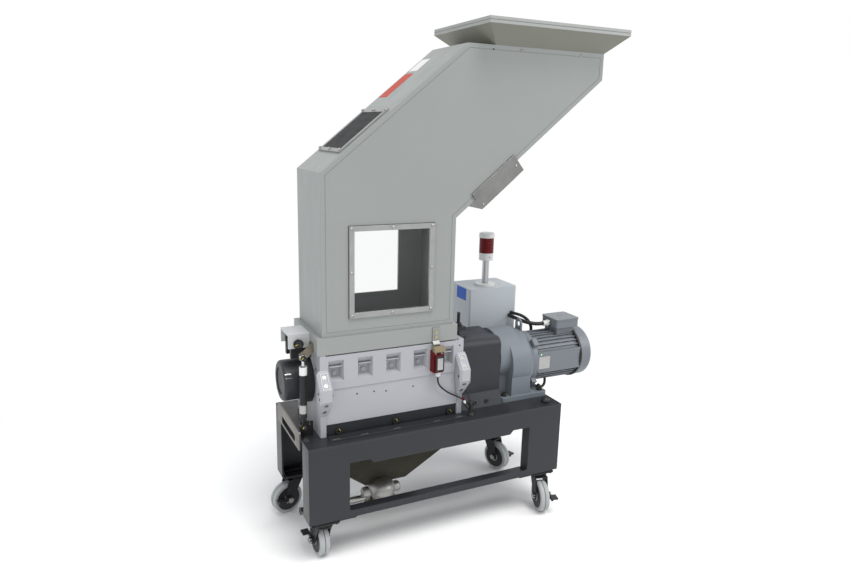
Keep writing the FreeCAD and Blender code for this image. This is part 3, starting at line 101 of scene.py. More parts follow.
class Paint:
    def __init__(self, name):
        self.material = bpy.data.materials.new(name)
        self.material.use_nodes = True
        self.tree = self.material.node_tree
        self.tree.nodes.clear()

    def add(self, kind, settings=None, sockets=None, out=0):
        node = self.tree.nodes.new("ShaderNode" + kind)
        for key, value in (settings or {}).items():
            if key == "stops":
                ramp = node.color_ramp
                while len(ramp.elements) < len(value):
                    ramp.elements.new(0.5)
                for element, (spot, colour) in zip(ramp.elements, value):
                    element.position, element.color = spot, (*colour, 1)
            else:
                setattr(node, key, value)
        for key, value in (sockets or {}).items():
            if isinstance(value, Wire):
                self.tree.links.new(value.socket, node.inputs[key])
            elif isinstance(value, tuple) and node.inputs[key].type == "RGBA" and len(value) == 3:
                node.inputs[key].default_value = (*value, 1)
            else:
                node.inputs[key].default_value = value
        return Wire(self, node.outputs[out])

    def place(self):
        return self.add("TexCoord", out="Object")

    def noise(self, where, scale, detail=3.0, rough=0.55):
        return self.add("TexNoise", {}, {"Vector": where, "Scale": scale, "Detail": detail,
                                         "Roughness": rough})

    def stretched(self, where, scale):
        return self.add("Mapping", {}, {"Vector": where, "Scale": scale})

    def ramp(self, fac, *stops):
        return self.add("ValToRGB", {"stops": stops}, {"Fac": fac})

    def step(self, value, low, high, newLow=0.0, newHigh=1.0):
        return self.add("MapRange", {}, {"Value": value, "From Min": low, "From Max": high,
                                         "To Min": newLow, "To Max": newHigh})

    def blend(self, fac, a, b):
        return self.add("Mix", {"data_type": "RGBA"}, {"Factor": fac, 6: a, 7: b}, out=2)

    def surface(self, **sockets):
        return self.end(self.add("BsdfPrincipled", {}, {k.replace("_", " "): v for k, v in sockets.items()}))

    def end(self, shader):
        node = self.tree.nodes.new("ShaderNodeOutputMaterial")
        self.tree.links.new(shader.socket, node.inputs["Surface"])
        return self.material

    def edges(self, radius):                  # rounded edge normal, and how near a sharp edge the point is
        soft = self.add("Bevel", {"samples": 4}, {"Radius": radius})
        sharp = self.add("NewGeometry", out="True Normal")
        turn = self.add("VectorMath", {"operation": "DOT_PRODUCT"}, {0: soft, 1: sharp}, out="Value")
        return soft, self.step(turn, 0.97, 0.75)

    def bump(self, height, depth, normal, strength=1.0):
        return self.add("Bump", {}, {"Height": height, "Distance": depth, "Strength": strength,
                                     "Normal": normal})


def lighter(colour, share):
    return tuple(min(1, c * share) for c in colour)


# Painted sheet: grain is bumps a metre, peel their depth in metres. Edge is how much lighter the paint turns
# near sharp edges: small values are worn paint, large ones are painted highlight along the edges
def powderCoat(name, colour, rough=0.45, gloss=0.3, grain=900, peel=0.00012, edge=1.25, radius=0.0012,
               cloud=0.05):
    paint = Paint(name)
    where = paint.place()
    soft, worn = paint.edges(radius)
    drift = paint.noise(where, 4, 4)
    speckle = paint.noise(where, grain, 2)
    base = paint.blend(drift, lighter(colour, 1 - cloud), lighter(colour, 1 + cloud))
    base = paint.blend(paint.step(speckle, 0.62, 0.75) * 0.25, base, lighter(colour, 1.2))
    # Lighter near sharp edges: worn paint, and painted highlight where edge is large
    base = paint.blend(worn * 0.5, base, lighter(colour, edge))
    smear = paint.noise(paint.stretched(where, (9, 9, 2)), 2, 5)
    return paint.surface(Base_Color=base, Roughness=paint.step(smear, 0.3, 0.7, rough - 0.07, rough + 0.09),
                         Specular_IOR_Level=gloss, Normal=paint.bump(speckle, peel, soft))


# Rolled or brushed metal: lines run along the axis with the smallest number in along
def brushedMetal(name, colour, along=(900, 900, 12), rough=0.32, scratch=0.00003, cloud=0.12, radius=0.0008):
    paint = Paint(name)
    where = paint.place()
    soft, worn = paint.edges(radius)
    lines = paint.noise(paint.stretched(where, along), 1, 4, 0.7)
    tarnish = paint.noise(where, 9, 5, 0.6)
    base = paint.blend(paint.step(lines, 0.35, 0.65), lighter(colour, 1 - cloud), lighter(colour, 1 + cloud))
    base = paint.blend(paint.step(tarnish, 0.45, 0.75) * 0.35, base, lighter(colour, 0.8))
    base = paint.blend(worn * 0.6, base, lighter(colour, 1.25))
    shine = paint.step(lines, 0.3, 0.7, rough - 0.08, rough + 0.12)
    return paint.surface(Base_Color=base, Metallic=1.0,
                         Roughness=shine + paint.step(tarnish, 0.5, 0.8) * 0.12,
                         Normal=paint.bump(lines, scratch, soft))


# Cast or machined iron under enamel
def castEnamel(name, colour, rough=0.5, depth=0.0005, radius=0.002, gloss=0.3):
    paint = Paint(name)
    where = paint.place()
    soft, worn = paint.edges(radius)
    sand = paint.noise(where, 260, 5, 0.65)
    drift = paint.noise(where, 11, 4)
    base = paint.blend(drift, lighter(colour, 0.9), lighter(colour, 1.08))
    base = paint.blend(worn * 0.6, base, lighter(colour, 1.35))
    return paint.surface(Base_Color=base, Roughness=paint.step(sand, 0.3, 0.7, rough - 0.06, rough + 0.1),
                         Specular_IOR_Level=gloss, Normal=paint.bump(sand, depth, soft, 0.7))


# Moulded plastic and rubber: dull, with a fine spark-eroded grain
def moulded(name, colour, rough=0.5, grain=1400, depth=0.00006, coat=0.0, radius=0.0008, gloss=0.35):
    paint = Paint(name)
    where = paint.place()
    soft, worn = paint.edges(radius)
    fine = paint.noise(where, grain, 3)
    scuff = paint.noise(where, 35, 5, 0.6)
    base = paint.blend(paint.step(scuff, 0.5, 0.8) * 0.5, colour,
                       tuple(min(1, c * 1.15 + 0.012) for c in colour))
    base = paint.blend(worn * 0.35, base, tuple(min(1, c * 1.3 + 0.01) for c in colour))
    return paint.surface(Base_Color=base, Roughness=paint.step(scuff, 0.3, 0.8, rough - 0.05, rough + 0.12),
                         Specular_IOR_Level=gloss, Coat_Weight=coat, Normal=paint.bump(fine, depth, soft))


def clearSheet(name, colour, seen, through, gloss=0.5, rough=0.08):
    paint = Paint(name)
    where = paint.place()
    wipe = paint.noise(paint.stretched(where, (6, 6, 30)), 3, 5, 0.6)
    solid = paint.add("BsdfPrincipled", {}, {"Base Color": colour,
                                             "Roughness": paint.step(wipe, 0.3, 0.7, rough, rough + 0.1),
                                             "Specular IOR Level": gloss})
    clear = paint.add("BsdfTransparent", {}, {"Color": through})
    rim = paint.add("LayerWeight", {}, {"Blend": 0.25}, out="Facing")
    return paint.end(paint.add("MixShader", {}, {0: paint.step(wipe, 0.3, 0.7, seen * 0.8,
                                                               seen * 1.2) + rim * 0.1,
                                                 1: clear, 2: solid}))


def ribbedLens(name, colour):
    paint = Paint(name)
    where = paint.place()
    height = paint.add("SeparateXYZ", {}, {"Vector": where}, out="Z")
    rings = (height * 1250).math("SINE")
    drift = paint.noise(where, 60, 3)
    # Rib bands painted darker and lighter with height: painted shade and highlight on the lens ribs
    base = paint.blend(paint.step(rings, -1.0, 1.0), lighter(colour, 0.65), lighter(colour, 1.3))
    base = paint.blend(drift * 0.3, base, lighter(colour, 1.4))
    soft, worn = paint.edges(0.001)
    return paint.surface(Base_Color=base, Roughness=paint.step(drift, 0.3, 0.7, 0.16, 0.26),
                         Specular_IOR_Level=0.1, Normal=paint.bump(rings, 0.0006, soft))


finish = {
    # basePaint and guardPaint: edge 5 and 4 paint bright highlight lines along the sharp edges of the base
    # and the guard
    "basePaint": powderCoat("basePaint", (0.0215, 0.023, 0.027), 0.36, 0.36, edge=5),
    "guardPaint": powderCoat("guardPaint", (0.019, 0.021, 0.028), 0.33, 0.42, edge=4),
    "hopperPaint": powderCoat("hopperPaint", (0.285, 0.303, 0.298), 0.42, edge=1.35),
    "chamberPaint": powderCoat("chamberPaint", (0.385, 0.392, 0.42), 0.4, edge=1.3),
    "lugPaint": powderCoat("lugPaint", (0.52, 0.53, 0.54), 0.42, edge=1.2),
    "cabinetPaint": powderCoat("cabinetPaint", (0.48, 0.515, 0.545), 0.42, edge=1.2),
    "drivePaint": castEnamel("drivePaint", (0.155, 0.176, 0.200), 0.4, gloss=0.5),
    "motorPaint": castEnamel("motorPaint", (0.150, 0.167, 0.188), 0.36, depth=0.0002, gloss=0.55),
    "bearingPaint": castEnamel("bearingPaint", (0.028, 0.030, 0.034), 0.42),
    "tanSteel": brushedMetal("tanSteel", (0.21, 0.195, 0.15), (30, 260, 260), 0.42, cloud=0.05),
    "trayPaint": powderCoat("trayPaint", (0.208, 0.210, 0.178), 0.45, edge=1.5),
    "plateSteel": brushedMetal("plateSteel", (0.19, 0.18, 0.168), (300, 12, 300), 0.42, cloud=0.08),
    # Funnel: tan sheet darkened to about a third of tanSteel: painted shade inside the base
    "shadedFunnelSteel": brushedMetal("shadedFunnelSteel", (0.072, 0.068, 0.052), (40, 160, 160), 0.5, cloud=0.06),
    "bareSteel": brushedMetal("bareSteel", (0.32, 0.32, 0.31)),
    "polished": brushedMetal("polished", (0.42, 0.42, 0.41), (900, 900, 900), 0.2, 0.000002, 0.04),
    "satinSteel": brushedMetal("satinSteel", (0.36, 0.36, 0.35), (900, 900, 900), 0.42, 0.000002, 0.04),
    "coverSteel": brushedMetal("coverSteel", (0.225, 0.225, 0.222), (9, 800, 9), 0.36),
    "boltSteel": brushedMetal("boltSteel", (0.40, 0.395, 0.38), (300, 300, 300), 0.28, 0.00001),
    "blackSteel": castEnamel("blackSteel", (0.017, 0.017, 0.019), 0.4, 0.00012, 0.0008),
    "blackBolt": castEnamel("blackBolt", (0.022, 0.022, 0.023), 0.33, 0.00005, 0.0005),
    "rod": brushedMetal("rod", (0.75, 0.75, 0.76), (400, 400, 8), 0.12, 0.00001, 0.04),
    "tyre": moulded("tyre", (0.36, 0.375, 0.38), 0.55, 700, 0.00012),
    "wheelCore": moulded("wheelCore", (0.022, 0.022, 0.023), 0.45),
    # Dark band on the tread: painted shade of the tyre's groove
    "grooveShade": moulded("grooveShade", (0.11, 0.112, 0.115), 0.6),
    # Tray rim: lighter than trayPaint, painted light on the rim's outer face
    "litRimPaint": powderCoat("litRimPaint", (0.34, 0.353, 0.342), 0.42, edge=1.3),
    "beigePlastic": moulded("beigePlastic", (0.25, 0.205, 0.125), 0.5),
    "brassBolt": brushedMetal("brassBolt", (0.62, 0.55, 0.30), (300, 300, 300), 0.3, 0.00001),
    "frameSteel": brushedMetal("frameSteel", (0.37, 0.38, 0.375), (30, 30, 30), 0.4, 0.00001, 0.05),
    "blackPlastic": moulded("blackPlastic", (0.017, 0.017, 0.018), 0.42),
    "cableSkin": moulded("cableSkin", (0.014, 0.014, 0.015), 0.48, 600),
    "whitePlastic": moulded("whitePlastic", (0.66, 0.67, 0.66), 0.4, coat=0.15),
    "greyPole": brushedMetal("greyPole", (0.45, 0.46, 0.48), (500, 500, 20), 0.38),
    "redLens": ribbedLens("redLens", (0.14, 0.012, 0.016)),
    "redPlastic": moulded("redPlastic", (0.12, 0.005, 0.008), 0.4, gloss=0.12),
    "clearPane": clearSheet("clearPane", (0.55, 0.55, 0.55), 0.012, (0.995, 0.997, 0.996), 0.3),
    "smokedPane": clearSheet("smokedPane", (0.010, 0.011, 0.013), 0.995, (0.2, 0.2, 0.21), 0.03, 0.3),
    "yellowMark": moulded("yellowMark", (0.62, 0.50, 0.04), 0.55),
    "orangeSticker": moulded("orangeSticker", (0.46, 0.040, 0.018), 0.45, gloss=0.25),
    "whiteSticker": moulded("whiteSticker", (0.74, 0.74, 0.73), 0.42, coat=0.1),
    "blueSticker": moulded("blueSticker", (0.012, 0.10, 0.50), 0.45, gloss=0.25),
    "greenSticker": moulded("greenSticker", (0.03, 0.22, 0.08), 0.4, coat=0.2),
    "nameplate": brushedMetal("nameplate", (0.45, 0.45, 0.44), (20, 700, 700), 0.35, 0.00001),
}
print("finishes mixed:", len(finish))

# Which finish each solid of the machine wears
worn = {
    "basePaint": ["base_top", "base_front_panel", "base_rear_panel", "sill_bar", "cabinet_stand"],
    "guardPaint": ["coupling_guard"],
    "hopperPaint": ["hopper_front_side", "hopper_rear_side", "hopper_upper_sheet", "hopper_lower_sheet",
                    "hopper_flange"],
    "trayPaint": ["feed_tray"],
    "frameSteel": ["window_frames"],
    "lugPaint": ["hinge_channel"],
    "chamberPaint": ["clamp_blocks", "chamber_end_plates", "front_wall_upper", "front_wall_lower",
                     "rear_wall"],
    "cabinetPaint": ["control_cabinet"],
    "drivePaint": ["gearbox"],
    "motorPaint": ["motor_body", "fan_cover", "terminal_box"],
    "bearingPaint": ["bearing_housing"],
    "shadedFunnelSteel": ["regrind_funnel"],
    "tanSteel": ["strut_hopper_bracket"],
    "plateSteel": ["left_lifting_plate"],
    "bareSteel": ["switch_actuator", "rotor"],
    "polished": ["outlet_housing", "suction_pipe"],
    "coverSteel": ["slope_cover"],
    "blackSteel": ["caster_carriers", "chamber_lugs", "strut_cylinder", "strut_base_bracket", "latch_bolt"]
    + ["caster_fork_" + c for c in ("front_left", "front_right", "rear_left", "rear_right")],
    "blackBolt": ["hinge_bolt"],
    "rod": ["strut_rod"],
    "tyre": ["caster_wheel_" + c for c in ("front_left", "front_right", "rear_left", "rear_right")],
    "blackPlastic": ["caster_pedal_" + c for c in ("front_left", "front_right", "rear_left", "rear_right")],
    "cableSkin": ["motor_cable", "switch_cable"],
    "whitePlastic": ["cable_gland", "tower_body"],
    "redLens": ["tower_lens"],
    "redPlastic": ["safety_switch"],
    "clearPane": ["sight_panes"],
    "smokedPane": ["slope_pane"],
}
for look, names in worn.items():
    for name in names:
        slots = nodes[name].data.materials
        slots.clear()
        slots.append(finish[look])
print("solids painted")

# Cords: points in metres from the left front corner of the base
cords = {
    "motorLead": {
        "look": "cableSkin", "diameter": 0.013, "length": 0.147, "stiffness": "stiff",
        "stands": ["motor_cable"],
        "way": [(0.816, 0.284, 0.5955), (0.816, 0.258, 0.5955), (0.8203, 0.2289, 0.5935),
                (0.8312, 0.2055, 0.590), (0.8478, 0.189, 0.587), (0.8673, 0.1805, 0.585),
                (0.8883, 0.180, 0.585)]},
    "switchLead": {
        "look": "cableSkin", "diameter": 0.005, "length": 0.197, "stiffness": "medium",
        "stands": ["switch_cable"],
        "way": [(0.416, 0.046, 0.504), (0.416, 0.046, 0.4873), (0.4273, 0.049, 0.4693),
                (0.4465, 0.0515, 0.4519), (0.468, 0.0535, 0.4373), (0.4917, 0.054, 0.4248),
                (0.5143, 0.050, 0.4123), (0.5279, 0.040, 0.397), (0.529, 0.034, 0.381),
                (0.529, 0.034, 0.365)]},
    "rearLead": {
        "look": "cableSkin", "diameter": 0.011, "length": 0.327, "stiffness": "stiff", "stands": [],
        "way": [(0.823, 0.284, 0.605), (0.825, 0.264, 0.606), (0.838, 0.242, 0.604), (0.856, 0.231, 0.592),
                (0.874, 0.232, 0.570), (0.888, 0.245, 0.545), (0.893, 0.264, 0.515), (0.889, 0.281, 0.478),
                (0.873, 0.291, 0.440), (0.857, 0.297, 0.408), (0.847, 0.298, 0.386), (0.846, 0.298, 0.365)]},
    "motorConduit": {
        "look": "cableSkin", "diameter": 0.009, "length": 0.065, "stiffness": "stiff", "stands": [],
        "way": [(0.880, 0.140, 0.405), (0.880, 0.137, 0.394), (0.873, 0.130, 0.383), (0.859, 0.122, 0.379),
                (0.847, 0.119, 0.383), (0.839, 0.118, 0.391)]},
    "sensorLead": {
        "look": "cableSkin", "diameter": 0.004, "length": 0.112, "stiffness": "medium", "stands": [],
        "way": [(0.514, 0.062, 0.470), (0.515, 0.056, 0.458), (0.519, 0.048, 0.443), (0.5235, 0.041, 0.425),
                (0.5275, 0.037, 0.405), (0.530, 0.036, 0.385), (0.530, 0.035, 0.365)]},
    "plugLead": {
        "look": "cableSkin", "diameter": 0.0045, "length": 0.049, "stiffness": "medium", "stands": [],
        "way": [(0.5065, 0.041, 0.408), (0.510, 0.040, 0.400), (0.5165, 0.038, 0.392), (0.523, 0.036, 0.383),
                (0.527, 0.034, 0.375), (0.527, 0.033, 0.365)]},
}


def cordPoint(x, y, z):
    return Vector((baseCorner[0] + x, baseCorner[1] + y, z))


for name, kit in cords.items():
    data = bpy.data.curves.new(name, "CURVE")
    data.dimensions, data.bevel_depth, data.bevel_resolution = "3D", kit["diameter"] / 2, 4
    data.resolution_u, data.use_fill_caps = 10, True
    spline = data.splines.new("NURBS")
    spline.points.add(len(kit["way"]) - 1)
    for point, spot in zip(spline.points, kit["way"]):
        point.co = (*cordPoint(*spot), 1)
    spline.order_u = 3
    spline.use_endpoint_u = True
    data.materials.append(finish[kit["look"]])
    cord = bpy.data.objects.new(name, data)
    bpy.context.scene.collection.objects.link(cord)
    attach(cord, "machine")
    if kit["stands"]:
        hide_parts(*kit["stands"])
    cordPoint(*kit["way"][0])
print("cords laid:", len(cords))


# Hardware outlines: rings of (outline, radius share, height share), counted from the seat
hardware = {
    "buttonHead": [("round", 1, 0), ("round", 0.98, 0.22), ("round", 0.82, 0.46), ("round", 0.58, 0.58),
                   ("hex", 0.5, 0.56), ("hex", 0.48, 0.22)],
    "socketHead": [("round", 1, 0), ("round", 1, 0.86), ("round", 0.93, 0.96), ("round", 0.7, 0.96),
                   ("hex", 0.62, 0.93), ("hex", 0.6, 0.35)],
    "hexBolt": [("round", 1.2, 0), ("round", 1.2, 0.15), ("hex", 1, 0.15), ("hex", 1, 0.85),
                ("round", 0.84, 0.98),
                ("round", 0.6, 0.98), ("round", 0.58, 0.93)],
    "nutOnStud": [("round", 1.25, 0), ("round", 1.25, 0.14), ("hex", 1, 0.14), ("hex", 1, 0.85),
                  ("round", 0.84, 0.95),
                  ("round", 0.56, 0.95), ("round", 0.56, 1.35), ("round", 0.47, 1.45)],
    "hexSleeve": [("hex", 1.12, 0), ("hex", 1.12, 0.6), ("round", 0.93, 0.7), ("round", 0.5, 0.7),
                  ("round", 0.5, 0.95), ("round", 0.42, 1.0)],
    "sunkScrew": [("round", 1, 0), ("round", 1, 0.08), ("round", 0.74, 0.1), ("hex", 0.62, 0.09),
                  ("hex", 0.6, 0.02)],
    "darkHole": [("round", 1, 0), ("round", 0.98, 0.06), ("round", 0.8, 0.07), ("round", 0.76, 0.02)],
    "grommet": [("round", 1.25, 0), ("round", 1.3, 0.12), ("round", 1.2, 0.3), ("round", 0.95, 0.42),
                ("round", 0.72, 0.9),
                ("round", 0.66, 1.3)],
    "domeCap": [("round", 1.0, 0), ("round", 1.08, 0.2), ("round", 1.02, 0.6), ("round", 0.8, 0.95),
                ("round", 0.5, 1.15), ("round", 0.2, 1.22)],
    "stud": [("round", 1, 0), ("round", 1, 1.35), ("round", 0.8, 1.55)],
    "thumbScrew": [("round", 1, 0), ("round", 1, 0.25), ("hex", 1.02, 0.3), ("hex", 1.02, 1.0),
                   ("round", 0.86, 1.15), ("round", 0.4, 1.2)],
}
ringPoints = 24


# Where an outline passes at a turn: round, or across the flats of a hexagon
def outlinePoint(kind, share, turn):
    if kind == "hex":
        share = share * math.cos(math.pi / 6) / math.cos((turn + math.pi / 6) % (math.pi / 3) - math.pi / 6)
    return share * math.cos(turn), share * math.sin(turn)


# Faces between rings of corners, with the first and last ring closed where asked
def joinRings(bm, rings, closeStart=True, closeEnd=True):
    for low, high in zip(rings, rings[1:]):
        for i in range(len(low)):
            j = (i + 1) % len(low)
            bm.faces.new((low[i], low[j], high[j], high[i]))
    if closeStart:
        bm.faces.new(rings[0][::-1])
    if closeEnd:
        bm.faces.new(rings[-1])


# The direction of an axis and two directions square to it
def aroundAxis(axis):
    out = Vector(axis).normalized()
    side = out.orthogonal().normalized()
    return out, side, out.cross(side)


# Screw, nut, hole or cap of a kind in hardware: size is its radius in millimetres
def addHardware(bm, kind, spot, axis, size, spin=0.0):
    out, side, over = aroundAxis(axis)
    rings = []
    for outline, share, height in hardware[kind]:
        ring = []
        for i in range(ringPoints):
            a, b = outlinePoint(outline, share, i * 2 * math.pi / ringPoints)
            a, b = a * math.cos(spin) - b * math.sin(spin), a * math.sin(spin) + b * math.cos(spin)
            ring.append(bm.verts.new(at(*(Vector(spot) + (side * a + over * b + out * height) * size))))
        rings.append(ring)
    joinRings(bm, rings)


# Plate with round corners and a soft edge: out is the way it faces, across the way its width runs
def addSlab(bm, middle, out, across, width, height, thick, corner=2.0, edge=0.4):
    out = Vector(out).normalized()
    across = Vector(across).normalized()
    over = out.cross(across)
    rings = []
    for rise, inset in ((0, 0), (thick - edge, 0), (thick, edge)):
        ring = []
        for quarter, (sx, sy) in enumerate(((1, 1), (-1, 1), (-1, -1), (1, -1))):
            for step in range(5):
                turn = (quarter + step / 4) * math.pi / 2
                radius = max(corner - inset, 0.05)
                x = sx * (width / 2 - corner) + radius * math.cos(turn)
                y = sy * (height / 2 - corner) + radius * math.sin(turn)
                ring.append(bm.verts.new(at(*(Vector(middle) + across * x + over * y + out * rise))))
        rings.append(ring)
    joinRings(bm, rings)


# Turned piece from (distance along, radius) pairs: closed at both ends, or hollow with the outline as wall
def addTurned(bm, start, axis, profile, count=32, hollow=False):
    out, side, over = aroundAxis(axis)
    turns = [i * 2 * math.pi / count for i in range(count)]
    rings = []
    for along, radius in profile:
        middle = Vector(start) + out * along
        rings.append([bm.verts.new(at(*(middle + (side * math.cos(t) + over * math.sin(t)) * radius)))
                      for t in turns])
    if hollow:
        rings.append(rings[0])
    joinRings(bm, rings, not hollow, not hollow)


def addSleeve(bm, start, axis, profile, count=40):
    addTurned(bm, start, axis, profile, count, True)


# Full dome: reach is its half size along each axis, fullness below 1 makes it blunter than a ball
def addDome(bm, middle, reach, rows=22, count=48, fullness=0.85):
    rings = []
    for row in range(rows):
        turn = math.pi * (row + 0.5) / rows
        wide, along = math.sin(turn) ** fullness, -math.cos(turn)
        rings.append([bm.verts.new(at(middle[0] + reach[0] * wide * math.cos(t), middle[1] + reach[1] * along,
                                      middle[2] + reach[2] * wide * math.sin(t)))
                      for t in (i * 2 * math.pi / count for i in range(count))])
    joinRings(bm, rings)


# Flat frame with a hollow middle: band is how wide each side is
def addFrame(bm, middle, out, across, width, height, thick, band):
    out = Vector(out).normalized()
    across = Vector(across).normalized()
    over = out.cross(across)
    rings = []
    for rise, inset in ((0, 0), (thick, 0.3), (thick, band), (0, band)):
        w, h = width / 2 - inset, height / 2 - inset
        rings.append([bm.verts.new(at(*(Vector(middle) + across * x + over * y + out * rise)))
                      for x, y in ((w, h), (-w, h), (-w, -h), (w, -h))])
    rings.append(rings[0])
    joinRings(bm, rings, False, False)


# Turns the drawn faces into a piece that rides on its body
def finishPiece(name, body, look, bm):
    bmesh.ops.recalc_face_normals(bm, faces=bm.faces)
    for face in bm.faces:
        face.smooth = True
    for edge in bm.edges:
        edge.smooth = len(edge.link_faces) == 2 and edge.calc_face_angle(0) < 0.6
    mesh = bpy.data.meshes.new(name)
    bm.to_mesh(mesh)
    bm.free()
    mesh.materials.append(finish[look])
    obj = bpy.data.objects.new(name, mesh)
    bpy.context.scene.collection.objects.link(obj)
    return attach(obj, body)


# The hopper's two slopes: how far up the sheet, across the machine, and how far off the sheet
def onUpperSlope(along, y, off):
    return 63 + 0.7710 * along - 0.6368 * off, y, 1111 + 0.6368 * along + 0.7710 * off


def onLowerSlope(along, y, off):
    return 473 + 0.7727 * along + 0.6349 * off, y, 979 + 0.6349 * along - 0.7727 * off


upperOut, upperAlong = (-0.6368, 0, 0.7710), (0.7710, 0, 0.6368)
lowerOut = (0.6349, 0, -0.7727)
front, rear, left, right, top = (0, -1, 0), (0, 1, 0), (-1, 0, 0), (1, 0, 0), (0, 0, 1)
clampHigh, clampLow, guardFlare = (0, -0.777, 0.629), (0, -0.827, -0.562), (0, -0.894, 0.447)

windowSpots = [(149.5, 714.5), (272.5, 714.5), (395.5, 714.5), (149.5, 837.5), (395.5, 837.5),
               (149.5, 960.5), (272.5, 960.5), (395.5, 960.5)]
screws = {
    "windowScrews": {"body": "hopper", "look": "boltSteel", "kind": "buttonHead", "size": 5.4,
                     "spots": [((x, 62, z), front) for x, z in windowSpots]
                     + [((x, 295, z), rear) for x, z in windowSpots]},
    "slopeThumbScrews": {"body": "hopper", "look": "boltSteel", "kind": "thumbScrew", "size": 4.5,
                         "spots": [(onUpperSlope(a, y, 5), upperOut) for a in (86.5, 256.5)
                                   for y in (93, 178.5, 264)]},
    "coverScrews": {"body": "hopper", "look": "boltSteel", "kind": "buttonHead", "size": 4,
                    "spots": [(onLowerSlope(a, y, o), out) for a, o in ((92, 27), (247, 9))
                              for y, out in ((62, front), (295, rear))]},
    "mouthScrews": {"body": "hopper", "look": "boltSteel", "kind": "buttonHead", "size": 4.4,
                    "spots": [((671.6, 67, 1457.5), front), ((884.6, 67, 1456), front),
                              ((671.6, 290, 1457.5), rear), ((884.6, 290, 1456), rear)]},
    "mouthHole": {"body": "hopper", "look": "blackBolt", "kind": "darkHole", "size": 2.6,
                  "spots": [((576.2, 67, 1454.8), front)]},
    "actuatorScrews": {"body": "hopper", "look": "brassBolt", "kind": "socketHead", "size": 3.6,
                       "spots": [((412, 57, 641), front), ((412, 57, 627), front)]},
    "sillBolts": {"body": "machine", "look": "blackBolt", "kind": "socketHead", "size": 8.5,
                  "spots": [((x, 66, 378), front) for x in (108, 286, 467)]},
    "footBolts": {"body": "machine", "look": "blackBolt", "kind": "socketHead", "size": 9.5,
                  "spots": [((x, y, 381), top) for x in (689, 829) for y in (97, 263)]},
    "guardBolts": {"body": "machine", "look": "blackBolt", "kind": "socketHead", "size": 6,
                   "spots": [((613, 81, 381), guardFlare), ((569, 81, 381), guardFlare)]},
    "clampScrews": {"body": "machine", "look": "boltSteel", "kind": "sunkScrew", "size": 6,
                    "spots": [((x, y, z), out) for x in (62.8, 500.3) for y, z, out in
                              ((46.8, 550.7, clampHigh), (31, 531.2, clampHigh), (31, 472.8, clampLow),
                               (48, 447.7, clampLow))]},
    "clampSideHoles": {"body": "machine", "look": "blackBolt", "kind": "darkHole", "size": 4.2,
                       "spots": [((43.5, 43, 507), left), ((43.5, 34, 494), left), ((81.5, 30, 503), right),
                                 ((481.5, 35, 500), left), ((519.5, 35, 500), right)]},
    "bearingHoles": {"body": "machine", "look": "blackBolt", "kind": "darkHole", "size": 4.4,
                     "spots": [((-30, 180 + sy * 34.6, 509 + sz * 34.6), left)
                               for sy in (-1, 1) for sz in (-1, 1)] + [((-27, 180, 509), left)]},
    "endPlateStud": {"body": "machine", "look": "boltSteel", "kind": "stud", "size": 4.2,
                     "spots": [((54, 95, 561), left)]},
    "plateHoles": {"body": "machine", "look": "blackBolt", "kind": "darkHole", "size": 2.6,
                   "spots": [((495.8, 60, 589.5), front), ((254.7, 62, 477.5), front),
                             ((164.3, 62, 482.5), front), ((216.8, 62, 482), front),
                             ((342, 62, 479), front)]},
    "pocketScrews": {"body": "machine", "look": "lugPaint", "kind": "socketHead", "size": 5.5,
                     "spots": [((101.6 + 87.6 * i, 82, 550), front) for i in range(5)]},
    "strutNutsLow": {"body": "machine", "look": "blackBolt", "kind": "nutOnStud", "size": 6.6,
                     "spots": [((13, 79.5, 397), front)]},
    "strutNutsHigh": {"body": "hopper", "look": "blackBolt", "kind": "nutOnStud", "size": 6.6,
                      "spots": [((15, 79.5, 602), front)]},
    "hingeNuts": {"body": "hopper", "look": "blackBolt", "kind": "nutOnStud", "size": 11.5,
                  "spots": [((12, 122, 631), front), ((12, 225, 631), rear)]},
    "motorEarBolts": {"body": "machine", "look": "boltSteel", "kind": "hexBolt", "size": 6.2,
                      "spots": [((818.3, 180 + sy * 64, 476 + sz * 64), right)
                                for sy in (-1, 1) for sz in (-1, 1)]},
    "fanCoverScrews": {"body": "machine", "look": "boltSteel", "kind": "buttonHead", "size": 3.4,
                       "spots": [((1006, 180 + sy * 61.5, 476 + sz * 61.5), (0, sy, sz))
                                 for sy in (-1, 1) for sz in (-1, 1)]},
    "lidHoles": {"body": "machine", "look": "blackBolt", "kind": "darkHole", "size": 3,
                 "spots": [((957, 187, 605), top), ((967, 184, 605), top)]},
    "lidScrews": {"body": "machine", "look": "boltSteel", "kind": "sunkScrew", "size": 3,
                  "spots": [((x, y, 605), top) for x in (922, 1001) for y in (144, 216)]},
    "baseCap": {"body": "machine", "look": "blackPlastic", "kind": "domeCap", "size": 13.5,
                "spots": [((810, 33, 365), top)]},
    "baseGrommets": {"body": "machine", "look": "blackPlastic", "kind": "grommet", "size": 8.5,
                     "spots": [((529, 34, 365), top), ((13, 60, 365), top), ((846, 298, 365), top)]},
    "conduitFitting": {"body": "machine", "look": "blackPlastic", "kind": "grommet", "size": 7.5,
                       "spots": [((839, 118, 381), top)]},
    "switchScrews": {"body": "machine", "look": "boltSteel", "kind": "sunkScrew", "size": 3,
                     "spots": [((401.5, 34, 581), front), ((421, 34, 581), front)]},
    "towerScrew": {"body": "machine", "look": "boltSteel", "kind": "buttonHead", "size": 2.6,
                   "spots": [((741, 307, 803), front)]},
}
for name, kit in screws.items():
    shape = bmesh.new()
    for number, (spot, out) in enumerate(kit["spots"]):
        addHardware(shape, kit["kind"], spot, out, kit["size"], number * 0.7)
    finishPiece(name, kit["body"], kit["look"], shape)
